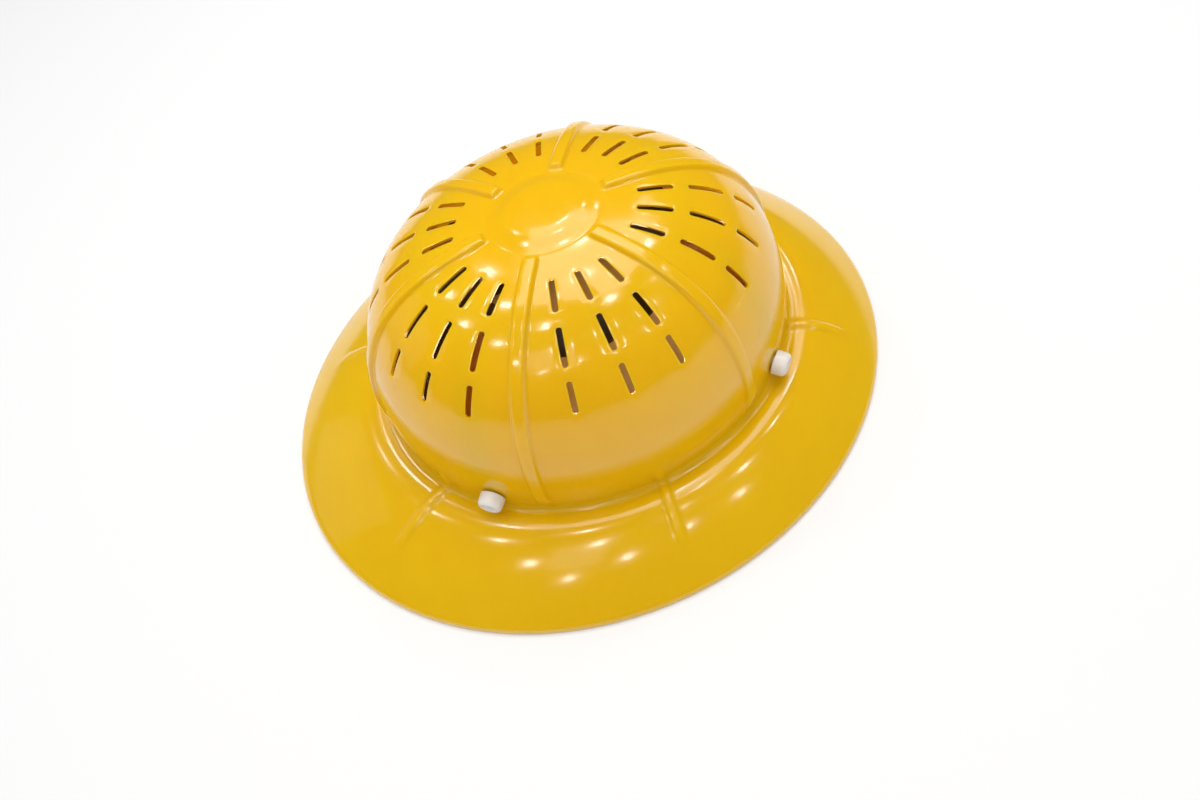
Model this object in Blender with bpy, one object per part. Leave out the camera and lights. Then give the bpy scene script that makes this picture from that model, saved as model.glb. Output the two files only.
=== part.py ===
"""Ventilated sun helmet for bee work, with its adjustable head harness.

Metres, +Z up. The wearer faces -Y and the wearer's left side is +X.
The rim stands on z = 0 and the brim is centred on the origin.
The yellow shell is one moulding. Inside it four amber hangers and four amber
crown straps hang from the studs: they carry the dark brow band and crown ring.
The nape band telescopes along Y in the two keepers of the brow band.
"""

import math

import bmesh
import bpy
from mathutils import Matrix, Vector

# Shell: plan sizes
CROWN_HALF_LENGTH = 0.118
CROWN_ASPECT = 0.87
CROWN_CENTRE_Y = 0.0078
BRIM_HALF_WIDTH = 0.1555
BRIM_HALF_LENGTH = 0.1815

# Shell: heights and section
ROOT_HEIGHT = 0.0310
CROWN_RISE = 0.1000
CROWN_SIDE_POWER = 3.2
CROWN_TOP_POWER = 2.2
WALL = 0.0020
ROOT_FILLET = 0.0060
ROOT_GROOVE = 0.0030
BRIM_SWELL = 0.0030
BRIM_CREST = 0.25
BRIM_FALL_POWER = 1.6
LIP_RADIUS = 0.0036
LIP_HEIGHT = 0.0060

# Shell: ribs, boss, ridges and vents
RIBS = 6
RIB_WIDTH = 0.0080
RIB_HEIGHT = 0.0020
BOSS_RADIUS = 0.20
BOSS_FOOT = 0.235
BOSS_HEIGHT = 0.0022
RIDGE_FOOT_WIDTH = 0.0080
RIDGE_TOP_WIDTH = 0.0026
RIDGE_HEIGHT = 0.0012
RIDGE_START = 0.012
RIDGE_END = 0.66
VENT_WIDTH = 0.0028
VENT_SPACING = math.radians(15.2)
VENT_ROWS = ((0.377, 0.521), (0.582, 0.724), (0.767, 0.858))
VENT_TAPER = 0.0012
LINE_RADIUS = 0.024
BRIM_LINE_SPREAD = math.radians(7.0)
BOSS_SHOULDER = 0.75
RIB_START = 0.6
# Rings below the vents: wall as (height, rib share, pull of its lines towards the brim's)
WALL_ROWS = ((0.045, 1.0, 0.3), (0.028, 1.0, 0.7), (RIDGE_START, 0.8, 1.0))
# Fillet as (turn, rib share), brim as shares of its width
FILLET_ROWS = ((0.0, 0.3), (math.radians(35.0), 0.0), (math.radians(65.0), 0.0))
BRIM_SHARES = (0.0, 0.12, 0.28, 0.47, RIDGE_END, 0.84)
TURN_STEP = 0.01

# Studs, in the crown wall
STUD_ANGLE = math.radians(46.7)
STUD_HEIGHT = 0.0085
STUD_SEGMENTS = 16
WASHER_RADIUS = 0.0060
WASHER_THICKNESS = 0.0020
BORE_SEGMENTS = 12
SHELL_BORE_LENGTH = 0.030
STRAP_BORE_LENGTH = 0.024
RIVET_BORE_LENGTH = 0.012
BAND_BORE_LENGTH = 0.010
SHANK_RADIUS = 0.0028
BORE_RADIUS = 0.0031
GAP = 0.0003
# Radius and height above the wall: dished face, rim, skirt, shank, barbed tip
STUD_PROFILE = (
    (0.0, 0.0064),
    (0.0024, 0.0062),
    (0.0038, 0.0078),
    (0.0050, 0.0080),
    (0.0062, 0.0070),
    (0.0064, 0.0006),
    (SHANK_RADIUS, 0.0006),
    (SHANK_RADIUS, -0.0095),
    (0.0036, -0.0098),
    (0.0030, -0.0110),
    (0.0, -0.0112),
)

# Harness straps
STRAP_WIDTH = 0.0145
STRAP_THICKNESS = 0.0014
STRAP_DEPTH = 0.0044
STRAP_FOOT_LEVELS = (0.0006, 0.0030, 0.0070, 0.0135)
STRAP_LEVELS = (0.019, 0.029, 0.040, 0.050, 0.056)
STRAP_CLEARANCE = 0.0027
STRAP_SLACK = 0.11
STRAP_PUSH = 0.032
STRAP_ARC_END = 0.046
STRAP_ARC_STEPS = 4
STRAP_FLAT_DEPTHS = (0.052, 0.0600, 0.0625)
STRAP_SLOPE = 0.1728
END_WIDTH = 0.45
NEXT_WIDTH = 0.85
HANGER_DEPTH = 0.0062
HANGER_WIDTH = 0.0120
RING_RADIUS = 0.053
RING_WIDTH = 0.020
RING_THICKNESS = 0.0020
RING_HEIGHT = 0.0745
RING_SLOPE = 0.18
RIVET_DEPTH = 0.056
RIVET_SHANK = 0.0018
RIVET_BORE = 0.0021
RIVET_HEAD = 0.0040
RIVET_TAIL = 0.0026
RIVET_CAP = 0.0011
RIVET_SEGMENTS = 12
RING_SEGMENTS = 48

# Bands
BAND_THICKNESS = 0.0018
BROW_HALF_WIDTH = 0.0780
BROW_STRAIGHT = 0.050
BROW_NOSE = 0.053
BROW_POWER = 2.1
BAND_STEPS = 24
BROW_LEG_END = 0.049
BROW_TOP = -0.0025
BROW_BOTTOM = -0.0275
NAPE_HALF_WIDTH = 0.0757
NAPE_LEG_FRONT = -0.006
NAPE_CURVE_START = 0.040
NAPE_CURVE_LENGTH = 0.056
NAPE_POWER = 2.2
NAPE_LEG_TOP = -0.0125
NAPE_LEG_BOTTOM = -0.0265
NAPE_REAR_TOP = -0.0035
NAPE_REAR_BOTTOM = -0.0270
HANGER_RIVET_Y = 0.040
HANGER_RIVET_Z = -0.0085
HANGER_STEPS = (-0.0068, -0.0045, 0.0, 0.0080)
HANGER_TURN = 0.0135
HANGER_DROP = 0.0030
HANGER_STATIONS = ((0.0555, -0.0060), (0.0500, HANGER_RIVET_Z), (0.0370, HANGER_RIVET_Z), (0.0345, HANGER_RIVET_Z))
KEEPER_Y = 0.018
KEEPER_LENGTH = 0.010
KEEPER_WALL = 0.0016
PAD_THICKNESS = 0.0045
PAD_GAP = 0.0004
SWEATBAND_INSET = 0.0010
NAPE_PAD_INSET = 0.0015
NAPE_PAD_POINTS = slice(8, -8)
SWEATBAND_POINTS = slice(3, -3)

UP = Vector((0.0, 0.0, 1.0))
CROWN = Vector((0.0, CROWN_CENTRE_Y, ROOT_HEIGHT))
CORNERS = {
    "front_left": (1, -1),
    "front_right": (-1, -1),
    "rear_left": (1, 1),
    "rear_right": (-1, 1),
}


def clear_scene():
    """Remove whatever the scene holds."""
    for old in list(bpy.data.objects):
        bpy.data.objects.remove(old, do_unlink=True)


def plastic(name, colour, roughness):
    """Return a Principled material for a moulded part."""
    made = bpy.data.materials.new(name)
    made.use_nodes = True
    shader = made.node_tree.nodes["Principled BSDF"]
    shader.inputs["Base Color"].default_value = (*colour, 1.0)
    shader.inputs["Roughness"].default_value = roughness
    shader.inputs["Metallic"].default_value = 0.0
    return made


def add_object(name, bm, material, place=None, origin=None):
    """Turn a bmesh into a named object; a closed one gets its normals outwards."""
    if all(edge.is_manifold for edge in bm.edges):
        bmesh.ops.recalc_face_normals(bm, faces=bm.faces[:])
    if origin is not None:
        bmesh.ops.translate(bm, verts=bm.verts[:], vec=-origin)
    mesh = bpy.data.meshes.new(name)
    bm.to_mesh(mesh)
    bm.free()
    mesh.shade_smooth()
    mesh.set_sharp_from_angle(angle=math.radians(35.0))
    mesh.materials.append(material)
    return add_copy(name, mesh, place, origin)


def add_copy(name, mesh, place=None, origin=None):
    """Link an object that shows the given mesh."""
    made = bpy.data.objects.new(name, mesh)
    bpy.context.scene.collection.objects.link(made)
    if origin is not None:
        made.location = origin
    if place is not None:
        made.matrix_world = place
    return made


# ---------------------------------------------------------------- shell

def crown_height(r):
    """Height of the crown above its root at a share r of its plan radius."""
    return CROWN_RISE * (1.0 - r ** CROWN_SIDE_POWER) ** (1.0 / CROWN_TOP_POWER)


def crown_radius(z):
    """Share of the plan radius that the crown has at a height above its root."""
    return (1.0 - (z / CROWN_RISE) ** CROWN_TOP_POWER) ** (1.0 / CROWN_SIDE_POWER)


def crown_point(angle, r, z):
    """Point of the crown; the angle runs from the front towards +X."""
    x = CROWN_HALF_LENGTH * CROWN_ASPECT * r * math.sin(angle)
    y = -CROWN_HALF_LENGTH * r * math.cos(angle)
    return CROWN + Vector((x, y, z))


def brim_point(angle, out, share, z):
    """Point of the brim, out metres from the root plus a share of what is left."""
    root = crown_point(angle, 1.0, 0.0)
    edge = Vector((BRIM_HALF_WIDTH * math.sin(angle), -BRIM_HALF_LENGTH * math.cos(angle), ROOT_HEIGHT))
    span = edge - root
    reach = out + share * (span.length - out - LIP_RADIUS)
    spot = root + span.normalized() * reach
    spot.z = root.z + z
    return spot


def brim_fall(share):
    """Height of the brim's top above the crown's root, groove to lip."""
    crest = 1.0 - (1.0 - min(share, BRIM_CREST) / BRIM_CREST) ** 2
    drop = ROOT_HEIGHT - ROOT_GROOVE + BRIM_SWELL - LIP_HEIGHT
    return BRIM_SWELL * crest - ROOT_GROOVE - drop * share ** BRIM_FALL_POWER


class Row:
    """One ring of the shell's outer skin, from the boss out to the lip."""

    def __init__(self, point, vent=VENT_WIDTH, brimward=0.0, rib=0.0, ridge=0.0, boss=0.0, open_below=False):
        self.point = point
        self.vent = vent
        self.brimward = brimward
        self.rib = rib
        self.ridge = ridge
        self.boss = boss
        self.open_below = open_below

    def base(self, angle):
        """Point of the ring at an angle, before ribs and ridges are raised."""
        return self.point(angle)


def crown_row(r, **marks):
    """Ring of the crown at a share of its plan radius."""
    z = crown_height(r)
    return Row(lambda angle: crown_point(angle, r, z), **marks)


def wall_row(z, **marks):
    """Ring of the crown's lower wall at a height above the root."""
    r = crown_radius(z)
    return Row(lambda angle: crown_point(angle, r, z), **marks)


def fillet_row(turn, **marks):
    """Ring of the fillet between wall and brim."""
    out = ROOT_FILLET * (1.0 - math.cos(turn))
    z = ROOT_FILLET * (1.0 - math.sin(turn)) - ROOT_GROOVE
    return Row(lambda angle: brim_point(angle, out, 0.0, z), brimward=1.0, **marks)


def brim_row(share, **marks):
    """Ring of the brim between the fillet and the lip."""
    z = brim_fall(share)
    return Row(lambda angle: brim_point(angle, ROOT_FILLET, share, z), brimward=1.0, **marks)


def lip_row(out, z):
    """Ring of the turned-down lip, z above the plane that the rim stands on."""
    level = z - ROOT_HEIGHT
    return Row(lambda angle: brim_point(angle, 0.0, 1.0, level) + lip_shift(angle, out), brimward=1.0)


def lip_shift(angle, out):
    """Step outwards from the end of the brim's slope."""
    across = Vector((BRIM_HALF_LENGTH * math.sin(angle), -BRIM_HALF_WIDTH * math.cos(angle), 0.0))
    return across.normalized() * out


def vent_rows():
    """Rings at the two ends of each vent row, with the tapered vent ends."""
    rings = []
    taper = VENT_TAPER / CROWN_HALF_LENGTH
    for first, last in VENT_ROWS:
        rings.append(crown_row(first, vent=0.5 * VENT_WIDTH, rib=1.0, open_below=True))
        rings.append(crown_row(first + taper, rib=1.0, open_below=True))
        rings.append(crown_row(last - taper, rib=1.0, open_below=True))
        rings.append(crown_row(last, vent=0.5 * VENT_WIDTH, rib=1.0))
    return rings


def shell_rows():
    """All rings of the outer skin, from the boss to the foot of the lip."""
    rings = [
        crown_row(0.5 * BOSS_RADIUS, boss=1.0),
        crown_row(BOSS_RADIUS, boss=BOSS_SHOULDER),
        crown_row(BOSS_FOOT, rib=RIB_START),
        crown_row(0.5 * (BOSS_FOOT + VENT_ROWS[0][0]), rib=1.0),
    ]
    rings += vent_rows()
    rings += [wall_row(z, rib=rib, brimward=brimward) for z, rib, brimward in WALL_ROWS]
    rings += [fillet_row(turn, rib=rib, ridge=1.0) for turn, rib in FILLET_ROWS]
    rings += [brim_row(share, ridge=ridge_share(share)) for share in BRIM_SHARES]
    rings += [
        lip_row(0.0, LIP_HEIGHT),
        lip_row(0.7 * LIP_RADIUS, LIP_HEIGHT - 0.3 * LIP_RADIUS),
        lip_row(LIP_RADIUS, LIP_HEIGHT - LIP_RADIUS),
        lip_row(LIP_RADIUS, 0.0),
    ]
    return rings


def ridge_share(share):
    """How much of a brim ridge's height is left at a share of the brim."""
    return max(0.0, 1.0 - (share / RIDGE_END) ** 2)


def blend(low, high, share):
    """Value a share of the way from low to high."""
    return low + share * (high - low)


def column_angles(row, middle):
    """Angles of the nine lines of one panel and the rib before it, on a row."""
    pitch = math.tau / RIBS
    ring_radius = (row.base(middle) - row.base(middle + TURN_STEP)).length / TURN_STEP
    per_metre = 1.0 / max(ring_radius, LINE_RADIUS)
    rib_foot = 0.5 * RIB_WIDTH * per_metre
    half_vent = 0.5 * row.vent * per_metre
    ridge_foot = 0.5 * RIDGE_FOOT_WIDTH * per_metre
    ridge_top = 0.5 * RIDGE_TOP_WIDTH * per_metre
    rib = middle - 0.5 * pitch
    if row.rib == 0.0 and row.brimward:
        rib_foot = BRIM_LINE_SPREAD
    return [
        rib - rib_foot,
        rib,
        rib + rib_foot,
        middle - VENT_SPACING - half_vent,
        blend(middle - VENT_SPACING + half_vent, middle - ridge_foot, row.brimward),
        blend(middle - half_vent, middle - ridge_top, row.brimward),
        blend(middle + half_vent, middle + ridge_top, row.brimward),
        blend(middle + VENT_SPACING - half_vent, middle + ridge_foot, row.brimward),
        middle + VENT_SPACING + half_vent,
    ]


LINE_IS_RIB = (0, 1, 0, 0, 0, 0, 0, 0, 0)
LINE_IS_RIDGE = (0, 0, 0, 0, 0, 1, 1, 0, 0)
VENT_AFTER_LINE = (False, False, False, True, False, True, False, True, False)


def row_normal(rows, index, angle):
    """Outward normal of the plain skin on a row."""
    above = rows[max(index - 1, 0)].base(angle)
    below = rows[min(index + 1, len(rows) - 1)].base(angle)
    beside = rows[index].base(angle + TURN_STEP) - rows[index].base(angle)
    return (below - above).cross(beside).normalized()


def skin_point(rows, index, angle, line):
    """Point of the outer skin, with boss, rib or ridge raised."""
    row = rows[index]
    lift = RIB_HEIGHT * row.rib * LINE_IS_RIB[line] + RIDGE_HEIGHT * row.ridge * LINE_IS_RIDGE[line]
    lift += BOSS_HEIGHT * row.boss
    if lift == 0.0:
        return row.base(angle)
    return row.base(angle) + row_normal(rows, index, angle) * lift


def shell_skin():
    """Mesh of the outer skin with its 54 vents left open."""
    rows = shell_rows()
    pitch = math.tau / RIBS
    skin = bmesh.new()
    rings = []
    for index, row in enumerate(rows):
        ring = []
        for panel in range(RIBS):
            angles = column_angles(row, (panel + 0.5) * pitch)
            for line, angle in enumerate(angles):
                ring.append(skin.verts.new(skin_point(rows, index, angle, line)))
        rings.append(ring)
    pole = skin.verts.new(crown_point(0.0, 0.0, CROWN_RISE + BOSS_HEIGHT))
    count = len(rings[0])
    for k in range(count):
        skin.faces.new((pole, rings[0][k], rings[0][(k + 1) % count]))
    for row, upper, lower in zip(rows, rings, rings[1:]):
        for k in range(count):
            if row.open_below and VENT_AFTER_LINE[k % len(VENT_AFTER_LINE)]:
                continue
            after = (k + 1) % count
            skin.faces.new((upper[k], lower[k], lower[after], upper[after]))
    return skin


def add_shell():
    """Helmet shell: crown and brim in one moulding."""
    yellow = plastic("shell_yellow", (0.80, 0.45, 0.012), 0.22)
    shell = add_object("helmet_shell", shell_skin(), yellow)
    thicken = shell.modifiers.new("wall", "SOLIDIFY")
    thicken.thickness = WALL
    thicken.offset = -1.0
    thicken.use_even_offset = True
    drill(shell, [(stud_place(corner), BORE_RADIUS, SHELL_BORE_LENGTH) for corner in CORNERS.values()])
    return shell


# ---------------------------------------------------------------- tools

def lathe(profile, segments):
    """Solid turned round local Z from (radius, height) points; radius 0 is a pole."""
    bm = bmesh.new()
    rings = []
    for radius, height in profile:
        if radius == 0.0:
            rings.append([bm.verts.new((0.0, 0.0, height))] * segments)
            continue
        turns = [math.tau * k / segments for k in range(segments)]
        rings.append([bm.verts.new((radius * math.cos(t), radius * math.sin(t), height)) for t in turns])
    closed = profile[0][0] > 0.0
    pairs = list(zip(rings, rings[1:]))
    if closed:
        pairs.append((rings[-1], rings[0]))
    for upper, lower in pairs:
        for k in range(segments):
            after = (k + 1) % segments
            corners = list(dict.fromkeys((upper[k], lower[k], lower[after], upper[after])))
            bm.faces.new(corners)
    return bm


def loft(sections):
    """Closed solid through four-cornered sections; its two broad faces split alike."""
    bm = bmesh.new()
    rings = [[bm.verts.new(corner) for corner in section] for section in sections]
    for near, far in zip(rings, rings[1:]):
        for k in range(3):
            bm.faces.new((near[k], near[k + 1], far[k + 1]))
            bm.faces.new((near[k], far[k + 1], far[k]))
        bm.faces.new((near[3], near[0], far[3]))
        bm.faces.new((near[0], far[0], far[3]))
    bm.faces.new(rings[0])
    bm.faces.new(rings[-1][::-1])
    return bm


def heading(points, k):
    """Direction of travel at one of a list of points."""
    return (points[min(k + 1, len(points) - 1)] - points[max(k - 1, 0)]).normalized()


def strip(centres, normals, widths):
    """Flat strap through the given centres, each with its face normal and width."""
    sections = []
    for k, (centre, normal, width) in enumerate(zip(centres, normals, widths)):
        along = heading(centres, k)
        across = along.cross(normal).normalized() * 0.5 * width
        face = across.cross(along).normalized() * 0.5 * STRAP_THICKNESS
        sections.append([centre + across + face, centre + across - face,
                         centre - across - face, centre - across + face])
    return loft(sections)


def upright_band(plan, tops, bottoms, thickness, inset=0.0):
    """Band standing on edge along a plan curve, inset to the curve's left."""
    sections = []
    for k, (spot, top, bottom) in enumerate(zip(plan, tops, bottoms)):
        along = heading(plan, k)
        left = Vector((-along.y, along.x, 0.0)).normalized()
        outer = spot + left * (inset - 0.5 * thickness)
        inner = spot + left * (inset + 0.5 * thickness)
        sections.append([outer + UP * top, inner + UP * top, inner + UP * bottom, outer + UP * bottom])
    return loft(sections)


def drill(target, holes):
    """Cut round holes, each a (place, radius, length) centred on its local Z."""
    bm = bmesh.new()
    for place, radius, length in holes:
        bmesh.ops.create_cone(
            bm, cap_ends=True, segments=BORE_SEGMENTS, radius1=radius, radius2=radius, depth=length, matrix=place)
    mesh = bpy.data.meshes.new(target.name + "_bores")
    bm.to_mesh(mesh)
    bm.free()
    cutter = bpy.data.objects.new(target.name + "_bores", mesh)
    bpy.context.scene.collection.objects.link(cutter)
    cutter.hide_render = True
    cutter.display_type = "WIRE"
    cut = target.modifiers.new("bores", "BOOLEAN")
    cut.operation = "DIFFERENCE"
    cut.solver = "EXACT"
    cut.object = cutter


def place_along(point, axis, upright):
    """Matrix with local Z along an axis and local Y near an upright direction."""
    side = upright.cross(axis).normalized()
    lift = axis.cross(side)
    turned = Matrix((side, lift, axis)).transposed().to_4x4()
    turned.translation = point
    return turned


# ---------------------------------------------------------------- studs

def stud_normal(corner):
    """Outward direction of the crown wall at a stud."""
    side, end = corner
    x = side * math.sin(STUD_ANGLE) / CROWN_ASPECT
    y = end * math.cos(STUD_ANGLE)
    return Vector((x, y, 0.0)).normalized()


def stud_centre(corner):
    """Point of the wall's outer face on a stud's axis."""
    side, end = corner
    point = crown_point(STUD_ANGLE, crown_radius(STUD_HEIGHT), STUD_HEIGHT)
    return Vector((side * point.x, CROWN_CENTRE_Y - end * (point.y - CROWN_CENTRE_Y), point.z))


def stud_place(corner):
    """Frame on the wall's outer face, local Z outwards along the stud."""
    return place_along(stud_centre(corner), stud_normal(corner), UP)


def stud_body():
    """Push-in stud: domed head with a dished face, shank and barbed tip."""
    return lathe(STUD_PROFILE, STUD_SEGMENTS)


def washer_body():
    """Retaining washer on the shank, inside the hanger."""
    outer = HANGER_DEPTH + 0.5 * STRAP_THICKNESS + GAP
    inner = outer + WASHER_THICKNESS
    profile = [
        (BORE_RADIUS, -outer), (WASHER_RADIUS, -outer), (WASHER_RADIUS, -inner), (BORE_RADIUS, -inner)]
    return lathe(profile, STUD_SEGMENTS)


def add_studs():
    """Four studs and their washers."""
    white = plastic("stud_white", (0.86, 0.85, 0.80), 0.35)
    stud = None
    washer = None
    for name, corner in CORNERS.items():
        place = stud_place(corner)
        if stud is None:
            stud = add_object("stud_" + name, stud_body(), white, place)
            washer = add_object("stud_washer_" + name, washer_body(), white, place)
            continue
        add_copy("stud_" + name, stud.data, place)
        add_copy("stud_washer_" + name, washer.data, place)


# ---------------------------------------------------------------- straps

def rounded_ends(count, width):
    """Widths of a strap's sections, narrowed at its two ends."""
    widths = [width] * count
    widths[0] = widths[-1] = END_WIDTH * width
    widths[1] = widths[-2] = NEXT_WIDTH * width
    return widths


def bezier(start, pull, push, end, steps):
    """Points of a cubic curve, ends included."""
    points = []
    for k in range(steps + 1):
        t = k / steps
        s = 1.0 - t
        points.append(start * s ** 3 + pull * 3 * s * s * t + push * 3 * s * t * t + end * t ** 3)
    return points


def wall_spot(corner, depth, along, z):
    """Point a depth inside the wall at a stud, along metres towards mid-length."""
    side, end = corner
    inward = -stud_normal(corner)
    towards = Vector((side * abs(inward.y), -end * abs(inward.x), 0.0))
    spot = stud_centre(corner) + inward * depth + towards * along
    spot.z = ROOT_HEIGHT + z
    return spot


def strap_depth(corner, z):
    """Depth of a crown strap's middle where it follows the wall at a height z."""
    normal = stud_normal(corner)
    across = UP.cross(normal)
    semi = (CROWN_ASPECT * CROWN_HALF_LENGTH, CROWN_HALF_LENGTH)
    deepest = 0.0
    for side in (-0.5, 0.5):
        spot = stud_centre(corner) - CROWN + across * side * STRAP_WIDTH
        a = sum((normal[k] / semi[k]) ** 2 for k in (0, 1))
        b = sum(normal[k] * spot[k] / semi[k] ** 2 for k in (0, 1))
        c = sum((spot[k] / semi[k]) ** 2 for k in (0, 1)) - crown_radius(z) ** 2
        deepest = max(deepest, (b - math.sqrt(b * b - a * c)) / a)
    return deepest + WALL + STRAP_CLEARANCE + STRAP_SLACK * (z - STRAP_LEVELS[0])


def add_crown_strap(name, corner, material):
    """Strap from a stud up under the crown to the ring."""
    straight = [wall_spot(corner, STRAP_DEPTH, 0.0, z) for z in STRAP_FOOT_LEVELS]
    rise = [wall_spot(corner, strap_depth(corner, z), 0.0, z) for z in STRAP_LEVELS]
    arc = bezier(
        rise[-1],
        rise[-1] + (rise[-1] - rise[-2]),
        wall_spot(corner, STRAP_PUSH, 0.0, strap_height(STRAP_PUSH)),
        wall_spot(corner, STRAP_ARC_END, 0.0, strap_height(STRAP_ARC_END)), STRAP_ARC_STEPS)[1:]
    flat = [wall_spot(corner, depth, 0.0, strap_height(depth)) for depth in STRAP_FLAT_DEPTHS]
    centres = straight + rise + arc + flat
    across = UP.cross(stud_normal(corner))
    normals = []
    for k in range(len(centres)):
        along = centres[min(k + 1, len(centres) - 1)] - centres[max(k - 1, 0)]
        normals.append(across.cross(along).normalized())
    widths = rounded_ends(len(centres), STRAP_WIDTH)
    strap = add_object(name, strip(centres, normals, widths), material)
    drill(strap, [
        (stud_place(corner), BORE_RADIUS, STRAP_BORE_LENGTH),
        (ring_rivet_place(corner), RIVET_BORE, RIVET_BORE_LENGTH)])


def strap_height(depth):
    """Height above the root of a crown strap's flat end, on top of the ring."""
    rise = RING_THICKNESS * 0.5 + STRAP_THICKNESS * 0.5 + GAP
    return RING_HEIGHT + rise + STRAP_SLOPE * (depth - RIVET_DEPTH)


def add_hanger(name, corner, material):
    """Hanger from a stud down and along to the side of the brow band."""
    side, end = corner
    level = stud_centre(corner).z - ROOT_HEIGHT
    near = [wall_spot(corner, HANGER_DEPTH, along, level) for along in HANGER_STEPS]
    turn = [wall_spot(corner, HANGER_DEPTH, HANGER_TURN, level - HANGER_DROP)]
    far = [hanger_spot(corner, y, z) for y, z in HANGER_STATIONS]
    centres = near + turn + far
    outward = Vector((side, 0.0, 0.0))
    wall = stud_normal(corner)
    normals = [wall] * len(near) + [wall.lerp(outward, 0.3), wall.lerp(outward, 0.85)] + [outward] * 3
    hanger = add_object(name, strip(centres, normals, rounded_ends(len(centres), HANGER_WIDTH)), material)
    drill(hanger, [
        (stud_place(corner), BORE_RADIUS, STRAP_BORE_LENGTH),
        (hanger_rivet_place(corner), RIVET_BORE, BAND_BORE_LENGTH)])


def hanger_spot(corner, y, z):
    """Point on a hanger's middle where it lies on the brow band."""
    side, end = corner
    x = BROW_HALF_WIDTH + 0.5 * BAND_THICKNESS + GAP + 0.5 * STRAP_THICKNESS
    return CROWN + Vector((side * x, end * y, z))


def hanger_rivet_place(corner):
    """Frame on the hanger's outer face at its rivet, local Z outwards."""
    side, end = corner
    spot = hanger_spot(corner, HANGER_RIVET_Y, HANGER_RIVET_Z)
    return place_along(spot + Vector((side * 0.5 * STRAP_THICKNESS, 0.0, 0.0)), Vector((side, 0.0, 0.0)), UP)


def ring_rivet_place(corner):
    """Frame on a crown strap's upper face at its rivet, local Z up."""
    spot = wall_spot(corner, RIVET_DEPTH, 0.0, strap_height(RIVET_DEPTH))
    axis = (UP + stud_normal(corner) * RING_SLOPE).normalized()
    return place_along(spot + axis * 0.5 * STRAP_THICKNESS, axis, stud_normal(corner))


def rivet_body(grip):
    """Tubular rivet whose shank passes through a grip of two layers."""
    tail = grip + 2.0 * GAP
    profile = [
        (0.0, GAP + RIVET_CAP),
        (0.7 * RIVET_HEAD, GAP + RIVET_CAP),
        (RIVET_HEAD, GAP + 0.4 * RIVET_CAP),
        (RIVET_HEAD, GAP),
        (RIVET_SHANK, GAP),
        (RIVET_SHANK, GAP - tail),
        (RIVET_TAIL, GAP - tail),
        (RIVET_TAIL, GAP - tail - RIVET_CAP),
        (0.0, GAP - tail - RIVET_CAP),
    ]
    return lathe(profile, RIVET_SEGMENTS)


def add_rivets():
    """Rivets of the crown ring and of the hangers."""
    steel = plastic("rivet_nickel", (0.62, 0.61, 0.58), 0.3)
    ring_mesh = None
    hanger_mesh = None
    for name, corner in CORNERS.items():
        ring_at = ring_rivet_place(corner)
        hanger_at = hanger_rivet_place(corner)
        if ring_mesh is None:
            ring_grip = STRAP_THICKNESS + GAP + RING_THICKNESS + GAP
            hanger_grip = STRAP_THICKNESS + GAP + BAND_THICKNESS + GAP
            ring_mesh = add_object("ring_rivet_" + name, rivet_body(ring_grip), steel, ring_at).data
            hanger_mesh = add_object("hanger_rivet_" + name, rivet_body(hanger_grip), steel, hanger_at).data
            continue
        add_copy("ring_rivet_" + name, ring_mesh, ring_at)
        add_copy("hanger_rivet_" + name, hanger_mesh, hanger_at)


def add_crown_ring():
    """Open crown ring that rests on the head, sloping down outwards."""
    charcoal = plastic("ring_charcoal", (0.025, 0.022, 0.020), 0.5)
    inner = RING_RADIUS - 0.5 * RING_WIDTH
    outer = RING_RADIUS + 0.5 * RING_WIDTH
    drop = 0.5 * RING_WIDTH * RING_SLOPE
    half = 0.5 * RING_THICKNESS
    profile = [(inner, drop + half), (outer, half - drop), (outer, -half - drop), (inner, drop - half)]
    place = Matrix.Translation(CROWN + UP * RING_HEIGHT)
    ring = add_object("crown_ring", lathe(profile, RING_SEGMENTS), charcoal, place)
    drill(ring, [(ring_rivet_place(corner), RIVET_BORE, RIVET_BORE_LENGTH) for corner in CORNERS.values()])


# ---------------------------------------------------------------- bands

def rounded_end(half_width, length, power, steps):
    """Quarter curves of a band's closed end, from its +X leg round to its -X leg."""
    points = []
    for k in range(steps + 1):
        turn = math.pi * k / steps
        x = half_width * math.copysign(abs(math.cos(turn)) ** (2.0 / power), math.cos(turn))
        y = length * math.sin(turn) ** (2.0 / power)
        points.append(Vector((x, y, 0.0)))
    return points


def brow_plan():
    """Plan curve of the brow band, -X leg round the front to the +X leg."""
    curve = rounded_end(BROW_HALF_WIDTH, BROW_NOSE, BROW_POWER, BAND_STEPS)
    nose = [Vector((-p.x, -BROW_STRAIGHT - p.y, 0.0)) for p in curve]
    leg = Vector((BROW_HALF_WIDTH, BROW_LEG_END, 0.0))
    return [CROWN + Vector((-leg.x, leg.y, 0.0))] + [CROWN + p for p in nose] + [CROWN + leg]


def nape_plan():
    """Plan curve of the nape band, +X leg round the back to the -X leg."""
    curve = rounded_end(NAPE_HALF_WIDTH, NAPE_CURVE_LENGTH, NAPE_POWER, BAND_STEPS)
    back = [Vector((p.x, NAPE_CURVE_START + p.y, 0.0)) for p in curve]
    leg = Vector((NAPE_HALF_WIDTH, NAPE_LEG_FRONT, 0.0))
    return [CROWN + leg] + [CROWN + p for p in back] + [CROWN + Vector((-leg.x, leg.y, 0.0))]


def nape_heights(plan, low, high):
    """Height of an edge along the nape band, legs at low and the back at high."""
    heights = []
    for spot in plan:
        share = max(0.0, (spot.y - CROWN.y - NAPE_CURVE_START) / NAPE_CURVE_LENGTH)
        heights.append(blend(low, high, min(1.0, share) ** 2))
    return heights


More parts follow.
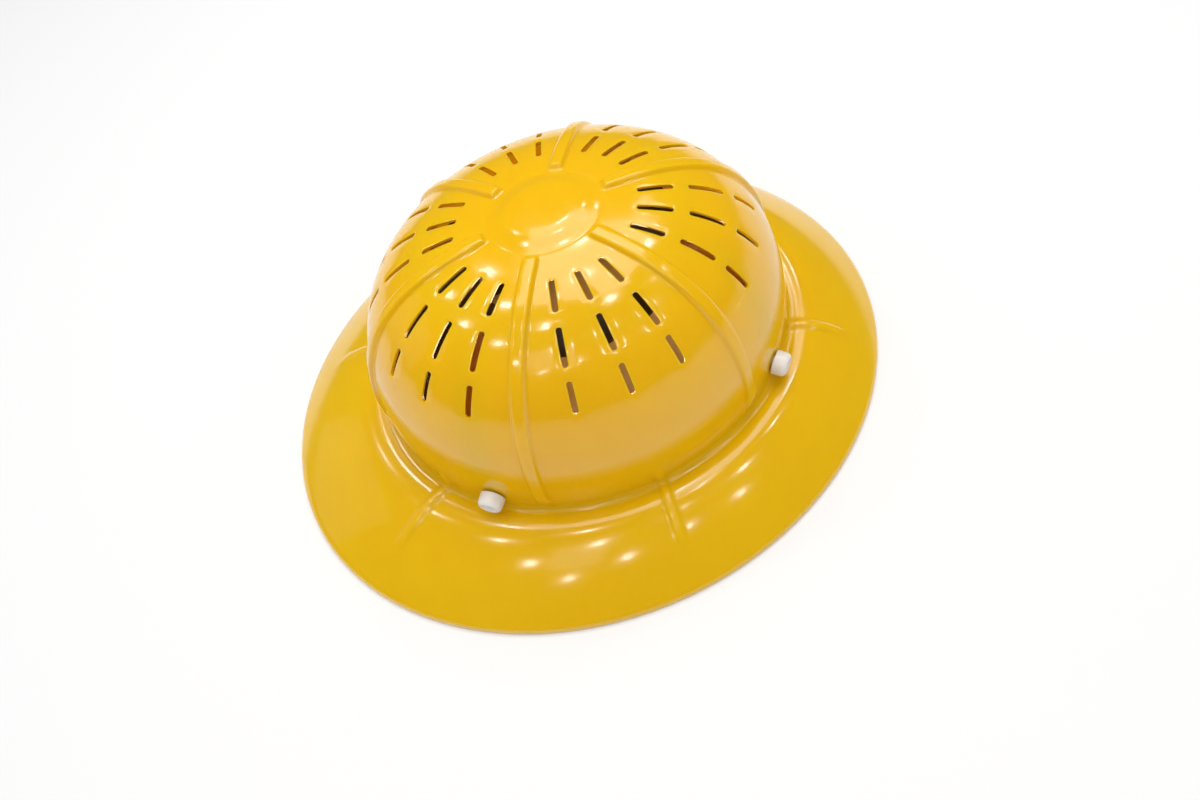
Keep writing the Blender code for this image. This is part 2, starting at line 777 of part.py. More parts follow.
def add_brow_band(material):
    """Brow band with its sweatband pad."""
    plan = brow_plan()
    count = len(plan)
    body = upright_band(plan, [BROW_TOP] * count, [BROW_BOTTOM] * count, BAND_THICKNESS)
    band = add_object("brow_band", body, material)
    drill(band, [(hanger_rivet_place(corner), RIVET_BORE, BAND_BORE_LENGTH) for corner in CORNERS.values()])
    cloth = plastic("pad_brown", (0.05, 0.028, 0.018), 0.7)
    front = plan[SWEATBAND_POINTS]
    inset = 0.5 * BAND_THICKNESS + PAD_GAP + 0.5 * PAD_THICKNESS
    tops = [BROW_TOP - SWEATBAND_INSET] * len(front)
    bottoms = [BROW_BOTTOM + SWEATBAND_INSET] * len(front)
    add_object("sweatband", upright_band(front, tops, bottoms, PAD_THICKNESS, inset), cloth)
    return cloth


def add_nape_band(material, cloth):
    """Nape band and its pad, both carried by the slide's empty."""
    slide = bpy.data.objects.new("nape_slide", None)
    bpy.context.scene.collection.objects.link(slide)
    slide.location = CROWN + Vector((0.0, NAPE_CURVE_START, NAPE_LEG_BOTTOM))
    bpy.context.view_layer.update()
    plan = nape_plan()
    tops = nape_heights(plan, NAPE_LEG_TOP, NAPE_REAR_TOP)
    bottoms = nape_heights(plan, NAPE_LEG_BOTTOM, NAPE_REAR_BOTTOM)
    band_body = upright_band(plan, tops, bottoms, BAND_THICKNESS)
    band = add_object("nape_band", band_body, material, None, slide.location)
    inset = 0.5 * BAND_THICKNESS + PAD_GAP + 0.5 * PAD_THICKNESS
    pad_tops = [top - NAPE_PAD_INSET for top in tops[NAPE_PAD_POINTS]]
    pad_bottoms = [bottom + NAPE_PAD_INSET for bottom in bottoms[NAPE_PAD_POINTS]]
    pad_body = upright_band(plan[NAPE_PAD_POINTS], pad_tops, pad_bottoms, PAD_THICKNESS, inset)
    pad = add_object("nape_pad", pad_body, cloth, None, slide.location)
    for moving in (band, pad):
        moving.parent = slide
        moving.matrix_parent_inverse = slide.matrix_world.inverted()


def box_corners(low, high):
    """Four corners, in X and Z, of an upright rectangle."""
    return [(low[0], low[1]), (high[0], low[1]), (high[0], high[1]), (low[0], high[1])]


def add_keeper(name, side, material):
    """Rectangular sleeve round the two legs on one side."""
    inner_x = NAPE_HALF_WIDTH - 0.5 * BAND_THICKNESS - PAD_GAP
    outer_x = BROW_HALF_WIDTH + 0.5 * BAND_THICKNESS + PAD_GAP
    hole = box_corners((inner_x, BROW_BOTTOM - PAD_GAP), (outer_x, BROW_TOP + PAD_GAP))
    wall = KEEPER_WALL
    shell = box_corners(
        (inner_x - wall, BROW_BOTTOM - PAD_GAP - wall), (outer_x + wall, BROW_TOP + PAD_GAP + wall))
    bm = bmesh.new()
    rings = []
    for outline in (shell, hole):
        for y in (KEEPER_Y - 0.5 * KEEPER_LENGTH, KEEPER_Y + 0.5 * KEEPER_LENGTH):
            rings.append([bm.verts.new(CROWN + Vector((side * x, y, z))) for x, z in outline])
    shell_near, shell_far, hole_near, hole_far = rings
    joined = (
        (shell_near, shell_far), (shell_far, hole_far), (hole_far, hole_near), (hole_near, shell_near))
    for one, other in joined:
        for k in range(4):
            after = (k + 1) % 4
            bm.faces.new((one[k], one[after], other[after], other[k]))
    add_object(name, bm, material)


def main():
    """Build every piece of the helmet."""
    clear_scene()
    add_shell()
    add_studs()
    amber = plastic("strap_amber", (0.66, 0.27, 0.012), 0.45)
    for name, corner in CORNERS.items():
        add_crown_strap("crown_strap_" + name, corner, amber)
        add_hanger("hanger_" + name, corner, amber)
    add_rivets()
    add_crown_ring()
    black = plastic("band_charcoal", (0.03, 0.028, 0.026), 0.5)
    cloth = add_brow_band(black)
    add_nape_band(black, cloth)
    add_keeper("keeper_left", 1, black)
    add_keeper("keeper_right", -1, black)


main()
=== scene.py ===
"""Visual model of a ventilated sun helmet for bee work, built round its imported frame.

The shell is remade at full detail from the same curves as the CAD shell: oval
crown, six ribs, boss, vents with rounded ends, rolled rim. Studs, rivets,
stitches and adjusting holes come from node trees; the two pads are swelled as
cloth. Every finish is procedural and reads Object coordinates.
"""

import logging
import math
from dataclasses import dataclass, field
from enum import Enum
from typing import Callable, Sequence

import bmesh
import bpy
import numpy as np
from mathutils import Matrix, Vector


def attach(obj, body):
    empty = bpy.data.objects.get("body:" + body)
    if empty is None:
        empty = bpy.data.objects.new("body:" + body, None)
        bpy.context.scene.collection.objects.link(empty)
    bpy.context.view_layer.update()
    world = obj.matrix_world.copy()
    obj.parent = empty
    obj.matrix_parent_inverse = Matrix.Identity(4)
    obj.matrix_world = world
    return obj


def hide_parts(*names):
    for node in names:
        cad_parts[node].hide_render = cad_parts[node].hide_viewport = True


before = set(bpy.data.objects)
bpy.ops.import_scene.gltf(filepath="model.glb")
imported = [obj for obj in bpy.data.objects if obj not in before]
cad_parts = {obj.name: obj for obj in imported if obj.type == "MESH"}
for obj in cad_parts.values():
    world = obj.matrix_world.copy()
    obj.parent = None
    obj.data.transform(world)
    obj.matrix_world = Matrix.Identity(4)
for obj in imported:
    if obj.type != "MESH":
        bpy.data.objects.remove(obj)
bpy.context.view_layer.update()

LOG = logging.getLogger("helmet")
MM = 0.001
HELMET_BODY = "helmet"
NAPE_BODY = "nape"
SHARP_DEGREES = 38.0
BEVEL_DEGREES = 42.0
FLAT_DEGREES = 0.6
WELD = 1e-6


# ------------------------------------------------------------------ shared mesh tools

def link_mesh(name: str, mesh: bpy.types.Mesh) -> bpy.types.Object:
    """Link an object at the origin that shows a mesh.

    Args:
        name: Name of the piece.
        mesh: Mesh in world metres.

    Returns:
        The linked object.
    """
    made = bpy.data.objects.new(name, mesh)
    bpy.context.scene.collection.objects.link(made)
    return made


def smooth(mesh: bpy.types.Mesh, degrees: float = SHARP_DEGREES) -> None:
    """Shade a mesh smooth, with edges past an angle kept sharp."""
    mesh.shade_smooth()
    mesh.set_sharp_from_angle(angle=math.radians(degrees))


def mesh_from(bm: bmesh.types.BMesh, name: str) -> bpy.types.Mesh:
    """Close a bmesh into a smooth mesh with its faces outwards.

    Args:
        bm: The geometry, freed here.
        name: Name of the mesh.

    Returns:
        The new mesh.
    """
    bmesh.ops.recalc_face_normals(bm, faces=bm.faces[:])
    mesh = bpy.data.meshes.new(name)
    bm.to_mesh(mesh)
    bm.free()
    smooth(mesh)
    return mesh


def bake(piece: bpy.types.Object) -> None:
    """Turn a piece's live modifiers into its mesh."""
    bpy.context.view_layer.update()
    mesh = bpy.data.meshes.new_from_object(piece.evaluated_get(bpy.context.evaluated_depsgraph_get()))
    piece.modifiers.clear()
    piece.data = mesh


def ease(value: np.ndarray | float) -> np.ndarray | float:
    """Smooth step of a value, held between 0 and 1."""
    held = np.clip(value, 0.0, 1.0)
    return held * held * (3.0 - 2.0 * held)


def lathe(profile: Sequence[tuple[float, float]], segments: int, name: str) -> bpy.types.Mesh:
    """Turn a profile round local Z into a closed mesh.

    Args:
        profile: (radius, height) points; a radius of 0 is a pole.
        segments: Faces round the axis.
        name: Name of the mesh.

    Returns:
        The turned mesh.
    """
    bm = bmesh.new()
    rings = []
    for radius, height in profile:
        if radius == 0.0:
            rings.append([bm.verts.new((0.0, 0.0, height))] * segments)
            continue
        turns = [math.tau * k / segments for k in range(segments)]
        rings.append([bm.verts.new((radius * math.cos(t), radius * math.sin(t), height)) for t in turns])
    pairs = list(zip(rings, rings[1:]))
    if profile[0][0] > 0.0:
        pairs.append((rings[-1], rings[0]))
    for upper, lower in pairs:
        for k in range(segments):
            after = (k + 1) % segments
            bm.faces.new(list(dict.fromkeys((upper[k], lower[k], lower[after], upper[after]))))
    return mesh_from(bm, name)


def rounded(profile: Sequence[tuple[float, float]], radius: float, steps: int) -> list[tuple[float, float]]:
    """Round the inner corners of an open profile.

    Args:
        profile: Corner points, ends included.
        radius: Radius of each rounding, shortened where a side is too short.
        steps: Points on each rounding beyond its first.

    Returns:
        The profile with a short curve at each corner.
    """
    points = [profile[0]]
    for before, corner, after in zip(profile, profile[1:], profile[2:]):
        here = Vector(corner)
        back = Vector(before) - here
        on = Vector(after) - here
        reach = min(radius, 0.45 * back.length, 0.45 * on.length)
        start = here + back.normalized() * reach
        end = here + on.normalized() * reach
        for k in range(steps + 1):
            t = k / steps
            spot = start * (1 - t) ** 2 + here * 2 * t * (1 - t) + end * t ** 2
            points.append((spot.x, spot.y))
    points.append(profile[-1])
    return points


def merged_copy(node: str) -> bmesh.types.BMesh:
    """Copy a CAD node's mesh with its loose triangles joined into flat faces.

    Args:
        node: Name of the CAD node.

    Returns:
        The copy as a bmesh in world metres.
    """
    bm = bmesh.new()
    bm.from_mesh(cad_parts[node].data)
    bmesh.ops.remove_doubles(bm, verts=bm.verts[:], dist=WELD)
    bmesh.ops.dissolve_limit(bm, angle_limit=math.radians(FLAT_DEGREES), verts=bm.verts[:], edges=bm.edges[:])
    return bm


def add_bevel(piece: bpy.types.Object, width: float) -> None:
    """Round a piece's sharp edges with a live Bevel."""
    bevel = piece.modifiers.new("eased_edges", "BEVEL")
    bevel.width = width
    bevel.segments = 2
    bevel.limit_method = "ANGLE"
    bevel.angle_limit = math.radians(BEVEL_DEGREES)


def dress(piece: bpy.types.Object, material: bpy.types.Material, body: str) -> None:
    """Give a piece its finish and the body it rides on, and report it."""
    piece.data.materials.clear()
    piece.data.materials.append(material)
    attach(piece, body)
    LOG.info("%s: %d faces, rides on %s", piece.name, len(piece.data.polygons), body)


# ------------------------------------------------------------------ node helpers

class Tree:
    """Small wrapper that adds and links nodes in one tree."""

    def __init__(self, tree: bpy.types.NodeTree) -> None:
        """Keep the tree that nodes are added to."""
        self.tree = tree

    def feed(self, socket: bpy.types.NodeSocket, value: object) -> None:
        """Link a socket to another one, or set its value."""
        if isinstance(value, bpy.types.NodeSocket):
            self.tree.links.new(value, socket)
        else:
            socket.default_value = value

    def add(self, kind: str, inputs: dict[str | int, object] | None = None,
            **settings: object) -> bpy.types.Node:
        """Add a node.

        Args:
            kind: Node type's identifier.
            inputs: Socket name or index to a value or to an output socket.
            **settings: Node properties set by name.

        Returns:
            The new node.
        """
        node = self.tree.nodes.new(kind)
        for key, value in settings.items():
            setattr(node, key, value)
        for key, value in (inputs or {}).items():
            self.feed(node.inputs[key], value)
        return node

    def math(self, operation: str, first: object, second: object,
             clamp: bool = False) -> bpy.types.NodeSocket:
        """Add a Math node and return its value."""
        node = self.add("ShaderNodeMath", {0: first, 1: second}, operation=operation, use_clamp=clamp)
        return node.outputs[0]

    def times(self, first: object, second: object) -> bpy.types.NodeSocket:
        """Product of two values."""
        return self.math("MULTIPLY", first, second)

    def noise(self, vector: bpy.types.NodeSocket, scale: object, detail: float,
              **more: float) -> bpy.types.NodeSocket:
        """Add a noise texture and return its value.

        Args:
            vector: Coordinates.
            scale: Scale, as a value or a socket.
            detail: Levels of detail.
            **more: Other inputs by name.

        Returns:
            The noise value.
        """
        return self.add("ShaderNodeTexNoise", {
            "Vector": vector, "Scale": scale, "Detail": detail, **more}).outputs[0]

    def ramp(self, value: bpy.types.NodeSocket, low: float, high: float) -> bpy.types.NodeSocket:
        """Map a value from the range low to high onto 0 to 1, held and eased."""
        node = self.add("ShaderNodeMapRange", {"Value": value, "From Min": low, "From Max": high})
        node.interpolation_type = "SMOOTHSTEP"
        return node.outputs["Result"]

    def mix(self, share: object, first: object, second: object) -> bpy.types.NodeSocket:
        """Add a colour Mix node and return its colour."""
        node = self.add("ShaderNodeMix", data_type="RGBA", blend_type="MIX")
        for key, value in (("Factor_Float", share), ("A_Color", first), ("B_Color", second)):
            self.feed(socket_of(node.inputs, key), value)
        return socket_of(node.outputs, "Result_Color")


def socket_of(sockets: Sequence[bpy.types.NodeSocket], identifier: str) -> bpy.types.NodeSocket:
    """Find a node's socket by its identifier."""
    return next(socket for socket in sockets if socket.identifier == identifier)


def new_group(name: str, kind: str, inputs: dict[str, tuple[str, object]], outputs: dict[str, str]) -> tuple:
    """Make a node group with named sockets.

    Args:
        name: Name of the group.
        kind: "ShaderNodeTree" or "GeometryNodeTree".
        inputs: Socket name to (socket type, default value or None).
        outputs: Socket name to socket type.

    Returns:
        The group's Tree wrapper, the sockets it is given and the sockets it gives out.
    """
    group = bpy.data.node_groups.new(name, kind)
    for label, (socket, default) in inputs.items():
        made = group.interface.new_socket(label, in_out="INPUT", socket_type=socket)
        if default is not None:
            made.default_value = default
    for label, socket in outputs.items():
        group.interface.new_socket(label, in_out="OUTPUT", socket_type=socket)
    return Tree(group), group.nodes.new("NodeGroupInput").outputs, group.nodes.new("NodeGroupOutput").inputs


FLOAT = "NodeSocketFloat"
COLOUR = "NodeSocketColor"
VECTOR = "NodeSocketVector"
GEOMETRY = "NodeSocketGeometry"
OBJECT = "NodeSocketObject"
MATERIAL = "NodeSocketMaterial"
MID_GREY = (0.5, 0.5, 0.5, 1.0)


# ------------------------------------------------------------------ shader effects

class Effects:
    """Node groups that several finishes share, each built once."""

    def __init__(self) -> None:
        """Build every shared effect."""
        self.drift = self._drift()
        self.grain = self._grain()
        self.handling = self._handling()
        self.edge_wear = self._edge_wear()
        self.dust = self._dust()

    @staticmethod
    def _drift() -> bpy.types.NodeTree:
        """Slow change of a colour over the surface, in two sizes."""
        tree, given, out = new_group(
            "colour_drift", "ShaderNodeTree",
            {"Vector": (VECTOR, None), "Colour": (COLOUR, MID_GREY), "Deep": (COLOUR, MID_GREY),
             "Scale": (FLOAT, 12.0), "Amount": (FLOAT, 0.3)},
            {"Colour": COLOUR})
        wide = tree.noise(given["Vector"], given["Scale"], 3.0, Roughness=0.45)
        small = tree.noise(given["Vector"], tree.times(given["Scale"], 6.5), 2.0)
        both = tree.math("ADD", tree.times(wide, 0.75), tree.times(small, 0.25))
        share = tree.times(tree.ramp(both, 0.34, 0.68), given["Amount"])
        tree.feed(out["Colour"], tree.mix(share, given["Colour"], given["Deep"]))
        return tree.tree

    @staticmethod
    def _grain() -> bpy.types.NodeTree:
        """Fine moulded grain and a slow waviness, as one height."""
        tree, given, out = new_group(
            "moulded_grain", "ShaderNodeTree",
            {"Vector": (VECTOR, None), "Grain Scale": (FLOAT, 900.0), "Grain": (FLOAT, 0.2),
             "Wave Scale": (FLOAT, 20.0), "Wave": (FLOAT, 1.0)},
            {"Height": FLOAT})
        fine = tree.noise(given["Vector"], given["Grain Scale"], 2.0)
        slow = tree.noise(given["Vector"], given["Wave Scale"], 1.0, Roughness=0.3)
        height = tree.math("ADD", tree.times(fine, given["Grain"]), tree.times(slow, given["Wave"]))
        tree.feed(out["Height"], height)
        return tree.tree

    @staticmethod
    def _handling() -> bpy.types.NodeTree:
        """Smudges and hairline scratches that dull a gloss."""
        tree, given, out = new_group(
            "handling_marks", "ShaderNodeTree",
            {"Vector": (VECTOR, None), "Roughness": (FLOAT, 0.2), "Smudge": (FLOAT, 0.08),
             "Scratch": (FLOAT, 0.12), "Scale": (FLOAT, 30.0)},
            {"Roughness": FLOAT})
        blotch = tree.noise(given["Vector"], given["Scale"], 5.0, Roughness=0.6, Distortion=0.6)
        smudge = tree.times(tree.ramp(blotch, 0.45, 0.75), given["Smudge"])
        masks = []
        for turn, stretch in ((0.4, 3.0), (1.7, 2.4), (2.6, 3.4)):
            laid = tree.add("ShaderNodeMapping", {
                "Vector": given["Vector"], "Rotation": (turn, 0.7 * turn, turn),
                "Scale": (1.0, 60.0 * stretch, 8.0)})
            masks.append(tree.ramp(tree.noise(laid.outputs[0], 9.0, 1.0), 0.70, 0.76))
        scratches = tree.math("MAXIMUM", tree.math("MAXIMUM", masks[0], masks[1]), masks[2])
        dull = tree.times(scratches, given["Scratch"])
        total = tree.math("ADD", tree.math("ADD", given["Roughness"], smudge), dull, clamp=True)
        tree.feed(out["Roughness"], total)
        return tree.tree

    @staticmethod
    def _edge_wear() -> bpy.types.NodeTree:
        """Rubbed edges, where the surface is sharply convex."""
        tree, given, out = new_group(
            "edge_wear", "ShaderNodeTree",
            {"Vector": (VECTOR, None), "Colour": (COLOUR, MID_GREY), "Worn": (COLOUR, MID_GREY),
             "Amount": (FLOAT, 0.5)},
            {"Colour": COLOUR})
        edge = tree.ramp(tree.add("ShaderNodeNewGeometry").outputs["Pointiness"], 0.53, 0.62)
        mask = tree.times(edge, tree.ramp(tree.noise(given["Vector"], 260.0, 3.0), 0.35, 0.6))
        share = tree.math("MULTIPLY", mask, given["Amount"], clamp=True)
        tree.feed(out["Colour"], tree.mix(share, given["Colour"], given["Worn"]))
        return tree.tree

    @staticmethod
    def _dust() -> bpy.types.NodeTree:
        """Light dust that settles on upward faces."""
        tree, given, out = new_group(
            "settled_dust", "ShaderNodeTree",
            {"Vector": (VECTOR, None), "Colour": (COLOUR, MID_GREY), "Amount": (FLOAT, 0.1)},
            {"Colour": COLOUR})
        geometry = tree.add("ShaderNodeNewGeometry")
        parts = tree.add("ShaderNodeSeparateXYZ", {0: geometry.outputs["Normal"]})
        specks = tree.noise(given["Vector"], 140.0, 6.0, Roughness=0.7)
        mask = tree.times(tree.ramp(parts.outputs["Z"], 0.2, 0.95), tree.ramp(specks, 0.52, 0.78))
        share = tree.math("MULTIPLY", mask, given["Amount"], clamp=True)
        tree.feed(out["Colour"], tree.mix(share, given["Colour"], (0.75, 0.70, 0.60, 1.0)))
        return tree.tree


# ------------------------------------------------------------------ finishes

class Surface(Enum):
    """Kinds of fine relief a finish may have."""

    MOULDED = "moulded"
    LEATHERETTE = "leatherette"
    THREAD = "thread"
    BRUSHED = "brushed"


@dataclass(frozen=True)
class Finish:
    """One procedural finish, from named values to a material."""

    name: str
    colour: tuple[float, float, float]
    deep: tuple[float, float, float]
    roughness: float
    surface: Surface = Surface.MOULDED
    metallic: float = 0.0
    drift_scale: float = 14.0
    drift_amount: float = 0.5
    grain: float = 0.10
    grain_scale: float = 900.0
    wave: float = 0.6
    wave_scale: float = 22.0
    bump_distance: float = 0.0004
    bump_strength: float = 0.35
    smudge: float = 0.07
    scratch: float = 0.10
    worn: tuple[float, float, float] = (0.8, 0.8, 0.8)
    wear_amount: float = 0.2
    dust_amount: float = 0.08
    coat: float = 0.0
    coat_roughness: float = 0.08
    subsurface: float = 0.0
    subsurface_radius: tuple[float, float, float] = (1.0, 0.6, 0.1)
    subsurface_scale: float = 0.004

    def material(self, effects: Effects) -> bpy.types.Material:
        """Build the finish's material.

        Args:
            effects: The shared node groups.

        Returns:
            The new material.
        """
        made = bpy.data.materials.new(self.name)
        made.use_nodes = True
        tree = Tree(made.node_tree)
        shader = made.node_tree.nodes["Principled BSDF"]
        spot = tree.add("ShaderNodeTexCoord").outputs["Object"]
        drift = tree.add("ShaderNodeGroup", {
            "Vector": spot, "Colour": (*self.colour, 1.0), "Deep": (*self.deep, 1.0),
            "Scale": self.drift_scale, "Amount": self.drift_amount}, node_tree=effects.drift)
        wear = tree.add("ShaderNodeGroup", {
            "Vector": spot, "Colour": drift.outputs["Colour"], "Worn": (*self.worn, 1.0),
            "Amount": self.wear_amount}, node_tree=effects.edge_wear)
        dust = tree.add("ShaderNodeGroup", {
            "Vector": spot, "Colour": wear.outputs["Colour"],
            "Amount": self.dust_amount}, node_tree=effects.dust)
        marks = tree.add("ShaderNodeGroup", {
            "Vector": spot, "Roughness": self.roughness, "Smudge": self.smudge,
            "Scratch": self.scratch}, node_tree=effects.handling)
        grain = tree.add("ShaderNodeGroup", {
            "Vector": spot, "Grain Scale": self.grain_scale, "Grain": self.grain,
            "Wave Scale": self.wave_scale, "Wave": self.wave}, node_tree=effects.grain)
        colour = dust.outputs["Colour"]
        height = self._relief(tree, spot, grain.outputs["Height"])
        if self.surface is Surface.LEATHERETTE:
            colour = tree.mix(tree.ramp(height, 0.9, 0.3), colour, (*self.deep, 1.0))
        bump = tree.add("ShaderNodeBump", {
            "Height": height, "Distance": self.bump_distance, "Strength": self.bump_strength})
        for label, value in {
                "Base Color": colour, "Roughness": marks.outputs["Roughness"], "Normal": bump.outputs[0],
                "Metallic": self.metallic, "Coat Weight": self.coat, "Coat Roughness": self.coat_roughness,
                "Subsurface Weight": self.subsurface, "Subsurface Radius": self.subsurface_radius,
                "Subsurface Scale": self.subsurface_scale}.items():
            tree.feed(shader.inputs[label], value)
        return made

    def _relief(self, tree: Tree, spot: bpy.types.NodeSocket,
                height: bpy.types.NodeSocket) -> bpy.types.NodeSocket:
        """Add the relief of the finish's surface kind to a height.

        Args:
            tree: The material's tree.
            spot: Object coordinates.
            height: Height to add to.

        Returns:
            The total height.
        """
        if self.surface is Surface.LEATHERETTE:
            cells = tree.add("ShaderNodeTexVoronoi", {"Vector": spot, "Scale": 620.0, "Randomness": 0.9},
                             feature="DISTANCE_TO_EDGE")
            creases = tree.ramp(cells.outputs["Distance"], 0.0, 0.16)
            return tree.math("ADD", tree.times(height, 0.3), creases)
        if self.surface is Surface.THREAD:
            twist = tree.add("ShaderNodeTexWave", {"Vector": spot, "Scale": 900.0, "Distortion": 1.0},
                             bands_direction="DIAGONAL")
            return tree.math("ADD", height, twist.outputs["Fac"])
        if self.surface is Surface.BRUSHED:
            laid = tree.add("ShaderNodeMapping", {"Vector": spot, "Scale": (30.0, 30.0, 1400.0)})
            return tree.math("ADD", height, tree.noise(laid.outputs[0], 3.0, 3.0))
        return height


SHELL_YELLOW = Finish(
    "shell_yellow", (0.80, 0.465, 0.002), (0.75, 0.405, 0.001), 0.13,
    drift_scale=9.0, drift_amount=0.55, grain=0.03, wave=1.0, wave_scale=16.0, bump_distance=0.0012,
    bump_strength=0.22, smudge=0.06, scratch=0.05, worn=(0.90, 0.62, 0.05), wear_amount=0.35,
    dust_amount=0.0, coat=0.15, coat_roughness=0.04, subsurface=0.45, subsurface_radius=(1.0, 0.60, 0.04),
    subsurface_scale=0.006)
STUD_WHITE = Finish(
    "stud_white", (0.80, 0.765, 0.72), (0.70, 0.66, 0.60), 0.32, drift_scale=120.0, grain=0.2,
    wear_amount=0.1, dust_amount=0.03, subsurface=0.2, subsurface_radius=(1.0, 0.9, 0.8),
    subsurface_scale=0.002)
# Painted shade: grey for a disc set into each stud's dished recess, standing in for the shade that falls
# there.
DISH_PAINTED_SHADE = Finish(
    "dish_grey", (0.50, 0.53, 0.56), (0.42, 0.45, 0.49), 0.42, drift_scale=150.0, grain=0.25,
    dust_amount=0.04, wear_amount=0.1)
STRAP_AMBER = Finish(
    "strap_amber", (0.66, 0.27, 0.012), (0.52, 0.18, 0.006), 0.42, drift_scale=40.0, grain=0.5,
    grain_scale=1500.0, worn=(0.80, 0.42, 0.06), wear_amount=0.4)
RIVET_NICKEL = Finish(
    "rivet_nickel", (0.64, 0.62, 0.58), (0.52, 0.49, 0.44), 0.27, surface=Surface.BRUSHED,
    metallic=1.0, drift_scale=180.0, grain=0.1, worn=(0.78, 0.76, 0.72), dust_amount=0.05)
BAND_CHARCOAL = Finish(
    "band_charcoal", (0.030, 0.027, 0.025), (0.018, 0.016, 0.015), 0.46, drift_scale=45.0,
    grain=0.9, grain_scale=1300.0, worn=(0.10, 0.095, 0.09), wear_amount=0.6, dust_amount=0.10)
PAD_BROWN = Finish(
    "pad_brown", (0.060, 0.034, 0.022), (0.020, 0.011, 0.008), 0.52, surface=Surface.LEATHERETTE,
    drift_scale=50.0, grain=0.3, bump_distance=0.0003, bump_strength=0.8, worn=(0.16, 0.10, 0.07),
    wear_amount=0.3)
THREAD_TAN = Finish(
    "thread_tan", (0.42, 0.30, 0.17), (0.26, 0.17, 0.09), 0.75, surface=Surface.THREAD,
    drift_scale=200.0, bump_distance=0.0002, bump_strength=0.6, wear_amount=0.0)


# ------------------------------------------------------------------ forms shared with the frame

CROWN = Vector((0.0, 0.0078, 0.031))
CROWN_HALF_LENGTH = 0.118
CROWN_ASPECT = 0.87
CROWN_RISE = 0.100
SIDE_POWER = 3.2
TOP_POWER = 2.2
BRIM_HALF_WIDTH = 0.1555
BRIM_HALF_LENGTH = 0.1815
BRIM_MARGIN = 0.0036
ROOT_FILLET = 0.0038
ROOT_GROOVE = 0.003
BAND_HALF_WIDTH = 0.078
BAND_HALF_THICKNESS = 0.0009
PANELS = 6
PITCH = math.tau / PANELS
UP = Vector((0.0, 0.0, 1.0))


def crown_height(r: float) -> float:
    """Height of the crown above its root at a share r of its plan radius."""
    return CROWN_RISE * (1.0 - r ** SIDE_POWER) ** (1.0 / TOP_POWER)


def crown_radius(z: float) -> float:
    """Share of the plan radius that the crown has at a height above its root."""
    return (1.0 - (z / CROWN_RISE) ** TOP_POWER) ** (1.0 / SIDE_POWER)


def crown_points(angles: np.ndarray, r: float, z: float) -> np.ndarray:
    """Points of one ring of the crown.

    Args:
        angles: Angles from the front towards +X, in radians.
        r: Share of the plan radius.
        z: Height above the crown's root.

    Returns:
        One point for each angle.
    """
    x = CROWN.x + CROWN_HALF_LENGTH * CROWN_ASPECT * r * np.sin(angles)
    y = CROWN.y - CROWN_HALF_LENGTH * r * np.cos(angles)
    return np.stack([x, y, np.full_like(angles, CROWN.z + z)], axis=-1)


# ------------------------------------------------------------------ helmet shell

@dataclass(frozen=True)
class Ring:
    """One ring of the shell's outer skin and what is raised on it."""

    spot: Callable[[np.ndarray], np.ndarray]
    brimward: float = 0.0
    rib: float = 0.0
    ridge: float = 0.0
    lift: float = 0.0
    vent: float = 0.0014
    shoulder: float = 0.0019
    sunk: float = 0.0
    open_below: bool = False


